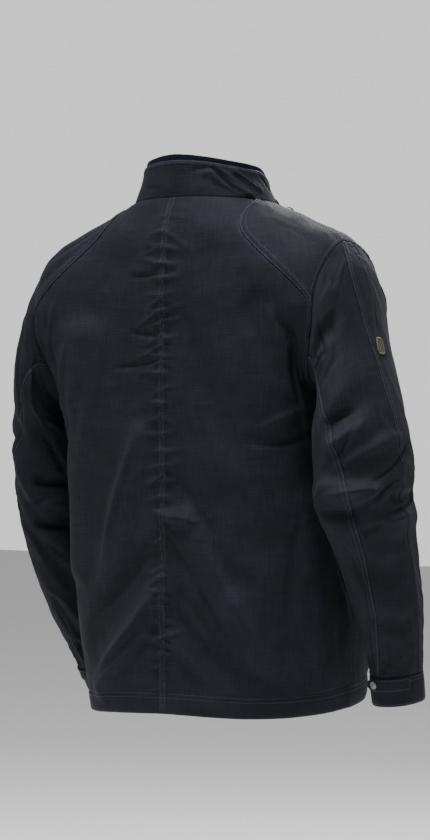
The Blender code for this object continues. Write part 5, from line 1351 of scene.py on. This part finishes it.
def make_collar():
    cloth = settings("jacket_cloth")
    turn, rise = collar_turns(20, 200)
    points, normals = collar(turn, rise), collar_outward(turn, rise)
    make_shell("collar_outer", points, normals, COLLAR_EDGES, 4, collar_place(turn, rise),
               collar_smooth(turn, rise), 500)

    # The second layer goes down to the neck seam, which it closes from the inside
    turn, rise = collar_turns(16, 170)
    insets = CLOTH_WALL + LAYER_GAP + rise * (INNER_COLLAR_INSET - CLOTH_WALL - LAYER_GAP)
    outward = collar_outward(turn, rise)
    grid = collar_smooth(turn, rise) - outward * insets[..., None]
    extra = np.linspace(0, 1, 5)[1:, None, None]
    wave = 0.4 * MM * soft_noise(turn[-1] * COLLAR_HALF_GIRTH, 0 * turn[-1], 0.022, 1.0, 61)
    tops = grid[-1:] + extra * (np.array([0, 0, INNER_COLLAR_MORE]) + wave[None, :, None] * [0, 0, 2.0])
    points = np.concatenate([grid, tops])
    normals = np.concatenate([outward, np.repeat(outward[-1:], 4, axis=0)])
    across, down = collar_place(turn, rise)
    across = np.concatenate([across, np.repeat(across[-1:], 4, axis=0)])
    down = np.concatenate([down, down[-1:] + extra[..., 0] * INNER_COLLAR_MORE])
    made = wall_object("collar_inner", points, normals, cloth.wall, [material("brushed_cotton")],
                       (across, down), 0 * across)
    finish_piece(made, "collar_inner")


# ---- Tabs, snaps, patch, throat strap and ring. Places and sizes are those of their solids.
LAYER_GAP = 0.4 * MM
CUFF_TAB_COLUMNS, CUFF_TAB_ROWS = (3, 10), (0.04, 0.48)  # columns and parts of the cuff's height covered
CUFF_TAB_TIP, CUFF_TAB_LIFT, CUFF_TAB_BEND = 0.35, 4 * MM, 6 / 7
TAB_WALL, TAB_ABOVE = 1.4 * MM, 0.5 * MM
SNAP_COLUMN, SNAP_ROW = 8.5, 0.24
# A snap's head, from its back to its middle: radius and height in millimetres
SNAP_OUTLINE = ((4.6, -1.0), (5.2, -0.95), (5.5, -0.6), (5.5, -0.1), (5.3, 0.45), (4.8, 0.85), (4.2, 1.0),
                (3.7, 0.85), (3.3, 0.45), (2.9, 0.40), (2.4, 0.62), (1.6, 0.84), (0.8, 0.94), (0.0, 0.97))
PATCH_SIDE, PATCH_AROUND, PATCH_ALONG = "right", -0.015, 2.21
PATCH_WIDTH, PATCH_HEIGHT, PATCH_WALL, PATCH_GAP = 19 * MM, 22 * MM, 1.2 * MM, 0.9 * MM
PATCH_GIRTH, PATCH_RING_GAP = 0.53, 0.10  # as SLEEVE_GIRTH and SLEEVE_RING_GAP, at the patch's place
PATCH_CORNER, PATCH_BORDER = 0.25, 0.17  # the border's width, as a part of half the patch
THROAT_TURNS, THROAT_RISE, THROAT_HALF_HEIGHT = (-0.60, -0.69), 0.17, 3 * MM
THROAT_BEND, THROAT_WALL, THROAT_HOLE, THROAT_REACH = 1.6 * MM, 1.2 * MM, 3.4 * MM, 8.5 * MM
RING_RADIUS, RING_WIRE = 7 * MM, 0.95 * MM


def make_cuff_tabs():
    """Pointed tabs lying on the cuffs, edge-stitched, their tips standing off a little."""
    for side, _ in SIDES:
        parts, rows = np.linspace(0, 1, 60), np.linspace(0, 1, 19)[:, None]
        first, last = CUFF_TAB_COLUMNS
        narrow = 1 - (1 - CUFF_TAB_TIP) * np.clip((parts - CUFF_TAB_BEND) / (1 - CUFF_TAB_BEND), 0, 1) ** 1.1
        low, high = CUFF_TAB_ROWS
        middle = (low + high) / 2
        along = SLEEVE_RINGS + middle + (rows - 0.5) * (high - low) * narrow
        columns = first + (last - first) * parts + 0 * rows
        around = around_of(side, columns, SLEEVE_RINGS + 0 * columns)
        points = sleeve_smooth(side, around, along, False)
        normals = sleeve_normal(side, around, along)
        ends = np.minimum(parts, 1 - parts) * 60 * MM
        edge = np.minimum(np.minimum(rows, 1 - rows) * CUFF_HEIGHT * (high - low) * narrow, ends) / MM
        lift = LAYER_GAP + TAB_ABOVE + TAB_WALL + CUFF_TAB_LIFT * parts**4
        height = (-0.5 * np.clip(1 - edge / 1.1, 0, 1) ** 2 - 0.35 * np.exp(-((edge - 2.2) / 0.8) ** 2)
                  + 0.35 * soft_noise(columns * 9 * MM, rows * 20 * MM, 12 * MM, 9 * MM, 71)) * MM
        outer = points + normals * (lift + height)[..., None]
        rub = np.exp(-((edge - 0.6) / 1.0) ** 2)
        made = wall_object(f"cuff_tab_{side}", outer, normals, TAB_WALL, [material("waxed_cotton")],
                           (columns * 17 * MM, rows * 20 * MM + 0 * columns), rub)
        finish_piece(made, f"cuff_tab_{side}")
        inside = 2, -3
        loop = np.concatenate([outer[inside[0], 2:-2], outer[inside[0]:inside[1], -3],
                               outer[inside[1], -3:1:-1]])
        its_normals = np.concatenate([normals[inside[0], 2:-2], normals[inside[0]:inside[1], -3],
                                      normals[inside[1], -3:1:-1]])
        STITCH_ROWS.append((loop, its_normals))


def lathe(outline, count):
    """Points and faces of a closed form turned round +Z, its outline given as radii and heights."""
    turns = tau * np.arange(count) / count
    radii, heights = np.array(outline[:-1]).T
    rings = np.stack([radii[:, None] * np.cos(turns), radii[:, None] * np.sin(turns),
                      heights[:, None] + 0 * turns], axis=-1).reshape(-1, 3)
    points = np.concatenate([rings, [[0, 0, outline[0][1]], [0, 0, outline[-1][1]]]])
    around = np.arange(count)
    after = (around + 1) % count
    last = (len(radii) - 1) * count
    back, front = len(points) - 2, len(points) - 1
    sides = [np.stack([r * count + around, r * count + after, (r + 1) * count + after,
                       (r + 1) * count + around], axis=-1) for r in range(len(radii) - 1)]
    caps = [np.stack([after, around, 0 * around + back], axis=-1),
            np.stack([last + around, last + after, 0 * around + front], axis=-1)]
    return points, caps + [np.concatenate(sides)]


def make_snaps():
    """Snap heads: a rolled rim with a low dome inside it."""
    for side, _ in SIDES:
        low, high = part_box(f"cuff_snap_{side}")
        around = around_of(side, np.array([SNAP_COLUMN]), np.array([float(SLEEVE_RINGS)]))
        outward = sleeve_normal(side, around, np.array([SLEEVE_RINGS + SNAP_ROW]))[0]
        points, faces = lathe([(radius * MM, height * MM) for radius, height in SNAP_OUTLINE], 48)
        turned = np.array(Vector(outward).to_track_quat("Z", "Y").to_matrix())
        centre = np.array((low + high) / 2) + outward * TAB_ABOVE
        made = mesh_object(f"cuff_snap_{side}_head", points @ turned.T + centre, faces,
                           [material("nickel_plated_brass")])
        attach(made, "jacket")
        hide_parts(f"cuff_snap_{side}")


def make_patch():
    """A plain embroidered patch with rounded corners and a thick overlocked border."""
    count = 49
    across, down = np.meshgrid(np.linspace(-1, 1, count), np.linspace(-1, 1, count))
    corner = 1 - PATCH_CORNER * np.abs(across * down) ** 4
    around = PATCH_AROUND + across * corner * PATCH_WIDTH / 2 / PATCH_GIRTH
    along = PATCH_ALONG + down * corner * PATCH_HEIGHT / 2 / PATCH_RING_GAP
    points, normals = sleeve(PATCH_SIDE, around, along), sleeve_normal(PATCH_SIDE, around, along)
    rim = 1 - np.maximum(np.abs(across), np.abs(down))
    run = np.arctan2(down, across)
    border = np.clip(1 - np.abs(rim / PATCH_BORDER - 0.5) * 2, 0, 1) ** 0.5
    overlock = np.sin(run * 46) * 0.12 * (border > 0)
    satin = np.sin((across * PATCH_WIDTH + down * PATCH_HEIGHT) / 2 / (0.9 * MM) * pi) * 0.09
    height = PATCH_GAP + PATCH_WALL + (0.55 * border + overlock + satin * (rim > PATCH_BORDER)) * MM
    outer = points + normals * height[..., None]
    made = wall_object("sleeve_patch", outer, normals, PATCH_WALL, [material("embroidered_patch_ground")],
                       (across * PATCH_WIDTH / 2, down * PATCH_HEIGHT / 2), 0 * across)
    made.data.materials.append(material("rayon_embroidery_thread"))
    quads = (count - 1) ** 2
    middles = (rim[:-1, :-1] + rim[1:, 1:] + rim[:-1, 1:] + rim[1:, :-1]).ravel() / 4
    indices = np.ones(len(made.data.polygons), np.int32)
    indices[:quads] = middles < PATCH_BORDER
    made.data.polygons.foreach_set("material_index", indices)
    finish_piece(made, "sleeve_patch")


def throat_directions():
    """The throat loop's place on the collar, and its outward and sideways directions."""
    start, turn = THROAT_TURNS
    place = collar_smooth(np.array(turn), np.array(THROAT_RISE))
    outward = unit(collar_outward(turn, THROAT_RISE) * [1, 1, 0])
    sideways = np.cross(outward, [0, 0, 1])
    ahead = (place - collar_smooth(np.array(start), np.array(THROAT_RISE))) @ sideways
    return place, outward, sideways * np.sign(ahead)


def make_throat_strap():
    """A narrow strap that lies on the collar, then stands out as a loop round the ring."""
    place, outward, sideways = throat_directions()
    start, turn = THROAT_TURNS
    radius = THROAT_HOLE / 2 + THROAT_WALL
    rows, normals = [], []
    for height in np.linspace(-THROAT_HALF_HEIGHT, THROAT_HALF_HEIGHT, 9):
        rise = THROAT_RISE + height / COLLAR_HEIGHT
        turns = np.linspace(start, turn, 24)
        pillow = 0.35 * MM * (1 - (height / THROAT_HALF_HEIGHT) ** 4)
        out = collar_outward(turns, rise)
        lying = collar_smooth(turns, np.full(len(turns), rise)) + out * (LAYER_GAP + THROAT_WALL + pillow)
        bend = lying[-1] + outward * THROAT_BEND + sideways * THROAT_BEND / 4
        level = np.array([place[0], place[1], bend[2]])
        across = (bend - level) @ sideways
        row, its_normals = list(lying), list(out)
        row.append(bend)
        its_normals.append(unit(outward - sideways))
        for angle in np.linspace(0, pi, 17):
            reach = THROAT_REACH - radius + radius * sin(angle)
            row.append(level + outward * reach + sideways * (across + radius * (1 - cos(angle))))
            its_normals.append(outward * sin(angle) - sideways * cos(angle))
        row.append(bend + sideways * 2 * radius)
        its_normals.append(sideways)
        rows.append(row)
        normals.append(its_normals)
    rows, normals = np.array(rows), np.array(normals)
    run = lengths_along(rows, 1)
    made = wall_object("throat_tab", rows, normals, THROAT_WALL, [material("waxed_cotton")],
                       (run, lengths_along(rows, 0)), 0.4 + 0 * run)
    finish_piece(made, "throat_tab")


def make_ring():
    """The throat strap's wire ring, round, with the butt of its wire as a fine notch."""
    low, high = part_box("throat_ring")
    _, outward, _ = throat_directions()
    upright, side = np.array([0, 0, 1.0]), np.cross(outward, [0, 0, 1.0])
    turns, angles = np.arange(96) * tau / 96, np.arange(16) * tau / 16
    wire = RING_WIRE * (1 - 0.16 * np.exp(-((np.sin(turns / 2 - 0.9)) / 0.03) ** 2))
    spokes = outward * np.cos(turns)[:, None] + upright * np.sin(turns)[:, None]
    round_wire = (spokes[:, None] * np.cos(angles)[None, :, None]
                  + side * np.sin(angles)[None, :, None]) * wire[:, None, None]
    points = np.array((low + high) / 2) + (spokes * RING_RADIUS)[:, None] + round_wire
    rows, columns = np.meshgrid(np.arange(96), np.arange(16), indexing="ij")
    corner = lambda i, j: ((rows + i) % 96) * 16 + (columns + j) % 16
    quads = np.stack([corner(0, 0), corner(0, 1), corner(1, 1), corner(1, 0)], axis=-1).reshape(-1, 4)
    made = mesh_object("throat_ring_wire", points.reshape(-1, 3), [outward_faces(points, quads)],
                       [material("nickel_plated_brass")])
    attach(made, "ring")
    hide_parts("throat_ring")


def outward_faces(points, quads):
    """The closed mesh's quads, turned so that its volume is positive."""
    corner = points.reshape(-1, 3)[quads]
    volume = (corner[:, 0] * np.cross(corner[:, 1], corner[:, 2])).sum()
    volume += (corner[:, 0] * np.cross(corner[:, 2], corner[:, 3])).sum()
    return quads if volume > 0 else quads[:, ::-1]


# ---- Zip
ZIP_WALL, ZIP_BEHIND, CLOTH_WALL = 0.8 * MM, 1.8 * MM, 1.8 * MM
TAPE_INNER, TAPE_OUTER, TAPE_START, ZIP_END = 3.4 * MM, 18 * MM, 0.15, 4 * MM
CHAIN_HALF, CHAIN_WALL, CHAIN_DEPTH, SLIDER_LEVEL = 2.9 * MM, 2.6 * MM, 1.6 * MM, 0.45
# A tooth seen from above: distance along the chain and across it, as parts of the pitch and the half width
TOOTH_OUTLINE = ((-0.42, 1.0), (-0.42, 0.25), (-0.26, 0.05), (-0.44, -0.30), (-0.34, -0.62), (0.34, -0.62),
                 (0.44, -0.30), (0.26, 0.05), (0.42, 0.25), (0.42, 1.0))


def front_line(start_level, x):
    """Points down the centre front with their outward normals, evenly spaced, to the zip's end."""
    levels = np.linspace(start_level, HEM_LEVEL, 400)
    turns = np.sign(x) * (1 - abs(x) / spline(BODY_SCALE, levels)[:, 0]) if x else np.ones(len(levels))
    normals = surface_normal(body_smooth, turns, levels)
    normals = normals * -np.sign(normals[:, 1:2])
    points = body(turns, levels, False)
    keep = points[:, 2] > points[-1, 2] + ZIP_END
    return points[keep], normals[keep]


def make_zip():
    """The closed zip behind the fronts: two woven tapes and a chain of metal teeth."""
    for side, sign in SIDES:
        columns = [front_line(TAPE_START, sign * x) for x in np.linspace(TAPE_INNER, TAPE_OUTER, 9)]
        rows = min(len(points) for points, _ in columns)
        points = np.stack([points[:rows] for points, _ in columns], axis=1)
        normals = np.stack([normals[:rows] for _, normals in columns], axis=1)
        outer = points - normals * (CLOTH_WALL + ZIP_BEHIND)
        made = wall_object(f"zip_tape_{side}", outer, normals, ZIP_WALL, [material("polyester_zip_tape")],
                           (lengths_along(points, 1), lengths_along(points, 0)), 0 * points[..., 0])
        finish_piece(made, f"zip_tape_{side}")
    make_teeth()


def make_teeth():
    points, normals = front_line(SLIDER_LEVEL, 0)
    lengths = running_length(points)
    pitch = settings("jacket_trim").tooth_pitch
    outline = np.array(TOOTH_OUTLINE) * [pitch / 2, CHAIN_HALF]
    corners = len(outline)
    places, faces = [], []
    side_numbers = np.arange(corners)
    for number in range(int(lengths[-1] / pitch * 2) - 1):
        distance = (number + 1) * pitch / 2
        centre = interpolated(distance, lengths, points)
        outward = unit(interpolated(distance, lengths, normals))
        down = unit(np.cross([1.0, 0, 0], outward))
        sign = 1 if number % 2 else -1
        start = len(places) * 3 * corners
        layers = []
        for part, depth in ((1.0, -CHAIN_DEPTH - CHAIN_WALL * 0.9), (1.0, -CHAIN_DEPTH - CHAIN_WALL * 0.15),
                            (0.72, -CHAIN_DEPTH)):
            layer = outline * [part, 1]
            sideways = np.array([sign * (0.5 + part / 2), 0, 0])
            layer = np.stack([centre + down * u + sideways * v + outward * depth for u, v in layer])
            layers.append(layer)
        places.append(np.concatenate(layers))
        for layer in (0, 1):
            low = start + layer * corners
            faces.append(np.stack([low + side_numbers, low + (side_numbers + 1) % corners,
                                   low + corners + (side_numbers + 1) % corners,
                                   low + corners + side_numbers], axis=-1)[:, ::sign])
    caps = []
    for tooth in range(len(places)):
        sign = 1 if tooth % 2 else -1
        base = tooth * 3 * corners
        caps.append((base + side_numbers)[::-sign])
        caps.append((base + 2 * corners + side_numbers)[::sign])
    made = mesh_object("zip_teeth", np.concatenate(places), [np.concatenate(faces), np.array(caps)],
                       [material("nickel_plated_brass")], smooth=False)
    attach(made, "jacket")
    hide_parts("zip_chain")


def finish_slider_and_pull():
    """The slider and its pull keep their solids, with rounded edges and a plated finish."""
    for name, width in (("zip_slider", 0.5 * MM), ("zip_pull", 0.45 * MM)):
        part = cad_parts[name]
        part.data.materials.clear()
        part.data.materials.append(material("nickel_plated_brass"))
        weld = part.modifiers.new("joined corners", "WELD")
        weld.merge_threshold = 0.01 * MM
        bevel = part.modifiers.new("rounded edges", "BEVEL")
        bevel.width, bevel.segments, bevel.limit_method = width, 3, "ANGLE"


def aim(made, direction):
    made.rotation_mode = "QUATERNION"
    made.rotation_quaternion = Vector(direction).to_track_quat("-Z", "Y")


def make_stitching():
    """All stitch rows, as one mesh."""
    grids, tips, sides, start = [], [], [], 0
    for path, normals in STITCH_ROWS:
        made = stitch_mesh(path, normals)
        if made is None:
            continue
        grid, its_tips, its_sides = made
        grids.append(grid)
        tips.append(its_tips + start)
        sides.append(its_sides + start)
        start += len(grid)
    points = np.concatenate(grids)
    stitches = mesh_object("stitching", points, [np.concatenate(tips), np.concatenate(sides)],
                           [material("polyester_thread")])
    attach(stitches, "jacket")


# ---- Operators

class PieceOperator:
    bl_options = {"REGISTER", "UNDO"}

    def execute(self, context):
        self.make()
        return {"FINISHED"}


class JACKET_OT_body_panels(PieceOperator, bpy.types.Operator):
    """Makes the back and front panels"""
    bl_idname = "jacket.body_panels"
    bl_label = "Body panels"

    def make(self):
        make_body_panels()


class JACKET_OT_yokes(PieceOperator, bpy.types.Operator):
    """Makes the shoulder yokes"""
    bl_idname = "jacket.yokes"
    bl_label = "Yokes"

    def make(self):
        make_yokes()


class JACKET_OT_sleeves(PieceOperator, bpy.types.Operator):
    """Makes the three panels of each sleeve"""
    bl_idname = "jacket.sleeves"
    bl_label = "Sleeves"

    def make(self):
        make_sleeves()


class JACKET_OT_cuffs(PieceOperator, bpy.types.Operator):
    """Makes the cuff bands"""
    bl_idname = "jacket.cuffs"
    bl_label = "Cuffs"

    def make(self):
        make_cuffs()


class JACKET_OT_collar(PieceOperator, bpy.types.Operator):
    """Makes the stand collar's two layers"""
    bl_idname = "jacket.collar"
    bl_label = "Collar"

    def make(self):
        make_collar()


class JACKET_OT_tabs(PieceOperator, bpy.types.Operator):
    """Makes the cuff tabs and their snaps"""
    bl_idname = "jacket.tabs"
    bl_label = "Cuff tabs"

    def make(self):
        make_cuff_tabs()
        make_snaps()


class JACKET_OT_patch(PieceOperator, bpy.types.Operator):
    """Makes the plain patch on the right sleeve"""
    bl_idname = "jacket.patch"
    bl_label = "Patch"

    def make(self):
        make_patch()


class JACKET_OT_throat(PieceOperator, bpy.types.Operator):
    """Makes the throat strap and its ring"""
    bl_idname = "jacket.throat"
    bl_label = "Throat strap"

    def make(self):
        make_throat_strap()
        make_ring()


class JACKET_OT_zip(PieceOperator, bpy.types.Operator):
    """Makes the front zip"""
    bl_idname = "jacket.zip"
    bl_label = "Zip"

    def make(self):
        make_zip()
        finish_slider_and_pull()


class JACKET_OT_stitching(PieceOperator, bpy.types.Operator):
    """Sews the stitch rows of the pieces made so far"""
    bl_idname = "jacket.stitching"
    bl_label = "Stitching"

    def make(self):
        make_stitching()


class JACKET_OT_stage(PieceOperator, bpy.types.Operator):
    """Makes the floor, the lights and the camera"""
    bl_idname = "jacket.stage"
    bl_label = "Stage"

    def make(self):
        make_stage()


CAMERA_PLACE = (-1.950, 2.785, -0.302)  # behind the wearer's right shoulder, level with the chest
CAMERA_LOOK = (0.5736, -0.8192, 0.0)
CAMERA_ASIDE = 0.0138  # to the right in the picture, with the view kept parallel
CAMERA_FIELD = radians(19.35)  # along the picture's long side
SENSOR = 36.0
FLOOR_HALF = 14.0
BAND = (0.18, 0.30)  # sines of the heights between which the surround grows darker
ABOVE_THE_BAND = 0.38  # how much the surround gives overhead, as a part of what it gives at eye height


def make_stage():
    stage = settings("jacket_stage")
    corners = FLOOR_HALF * np.array([[-1, -1, 0], [1, -1, 0], [1, 1, 0], [-1, 1, 0]])
    floor = mesh_object("floor", corners + [0, 0, stage.floor_height], [np.array([[0, 1, 2, 3]])], [],
                        smooth=False)
    made, tree, shader = new_material("painted_floor")
    place = node(tree, "ShaderNodeTexCoord")
    cloud = node(tree, "ShaderNodeTexNoise", {"Vector": place.outputs["Object"], "Scale": 1.5})
    tone = node(tree, "ShaderNodeMapRange", {"Value": cloud.outputs["Fac"], "To Min": 0.985, "To Max": 1.0})
    shade = node(tree, "ShaderNodeHueSaturation", {"Color": linear("f4f4f4"), "Value": tone.outputs[0]})
    tree.links.new(shade.outputs[0], shader.inputs["Base Color"])
    shader.inputs["Roughness"].default_value = 0.9
    shader.inputs["Specular IOR Level"].default_value = 0.1
    floor.data.materials.append(made)
    floor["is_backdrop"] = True

    world = bpy.data.worlds.new("pale surround")
    world.use_nodes = True
    tree = world.node_tree
    direction = node(tree, "ShaderNodeTexCoord")
    height = node(tree, "ShaderNodeSeparateXYZ", {"Vector": direction.outputs["Generated"]})
    steep = node(tree, "ShaderNodeMath", {0: height.outputs["Z"]}, operation="ABSOLUTE")
    strength = node(tree, "ShaderNodeMapRange", {
        "Value": steep.outputs[0], "From Min": BAND[0], "From Max": BAND[1], "To Min": stage.sky,
        "To Max": stage.sky * ABOVE_THE_BAND}, interpolation_type="SMOOTHSTEP")
    tree.nodes["Background"].inputs["Color"].default_value = linear("ffffff")
    tree.links.new(strength.outputs[0], tree.nodes["Background"].inputs["Strength"])
    bpy.context.scene.world = world

    for name, place, size, power in (
            ("key light", (-0.3, 0.9, 3.4), 2.0, stage.key),
            ("left light", (3.0, 1.9, 0.9), 1.0, stage.fill),
            ("front light", (0.8, -2.8, 1.6), 1.6, 5 * stage.fill)):
        light = bpy.data.lights.new(name, "AREA")
        light.shape, light.size, light.energy = "DISK", size, power
        lamp = bpy.data.objects.new(name, light)
        lamp.location = place
        aim(lamp, Vector((0, 0, -0.3)) - Vector(place))
        bpy.context.scene.collection.objects.link(lamp)

    lens = bpy.data.cameras.new("camera")
    lens.sensor_width = SENSOR
    lens.lens = SENSOR / 2 / tan(CAMERA_FIELD / 2)
    camera = bpy.data.objects.new("camera", lens)
    look = Vector(CAMERA_LOOK)
    right = look.cross(Vector((0, 0, 1)))
    camera.location = Vector(CAMERA_PLACE) + right * CAMERA_ASIDE
    aim(camera, look)
    bpy.context.scene.collection.objects.link(camera)
    bpy.context.scene.camera = camera


class VIEW3D_PT_jacket(bpy.types.Panel):
    """Lists the jacket's pieces and their sizes"""
    bl_label = "Rain jacket"
    bl_space_type = "VIEW_3D"
    bl_region_type = "UI"
    bl_category = "Rain jacket"

    def draw(self, context):
        for name, group in GROUPS.items():
            box = self.layout.box()
            for option in group.__annotations__:
                box.prop(getattr(context.scene, name), option)
        for operator in OPERATORS:
            self.layout.operator(operator.bl_idname)


GROUPS = {"jacket_cloth": ClothSettings, "jacket_stitch": StitchSettings, "jacket_pucker": PuckerSettings,
          "jacket_trim": TrimSettings, "jacket_stage": StageSettings}
OPERATORS = (JACKET_OT_body_panels, JACKET_OT_yokes, JACKET_OT_sleeves, JACKET_OT_cuffs, JACKET_OT_collar,
             JACKET_OT_tabs, JACKET_OT_patch, JACKET_OT_throat, JACKET_OT_zip, JACKET_OT_stitching,
             JACKET_OT_stage)


def register():
    for name, group in GROUPS.items():
        bpy.utils.register_class(group)
        setattr(bpy.types.Scene, name, bpy.props.PointerProperty(type=group))
    for made in OPERATORS + (VIEW3D_PT_jacket,):
        bpy.utils.register_class(made)


def unregister():
    for made in reversed(OPERATORS + (VIEW3D_PT_jacket,)):
        bpy.utils.unregister_class(made)
    for name, group in reversed(GROUPS.items()):
        delattr(bpy.types.Scene, name)
        bpy.utils.unregister_class(group)


def main():
    register()
    make_materials()
    for operator in OPERATORS:
        group, name = operator.bl_idname.split(".")
        getattr(getattr(bpy.ops, group), name)()
    sizes = {"cad": [list(corner) for corner in cad_box], "visual": [list(corner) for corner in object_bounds()]}


if __name__ == "__main__":
    main()
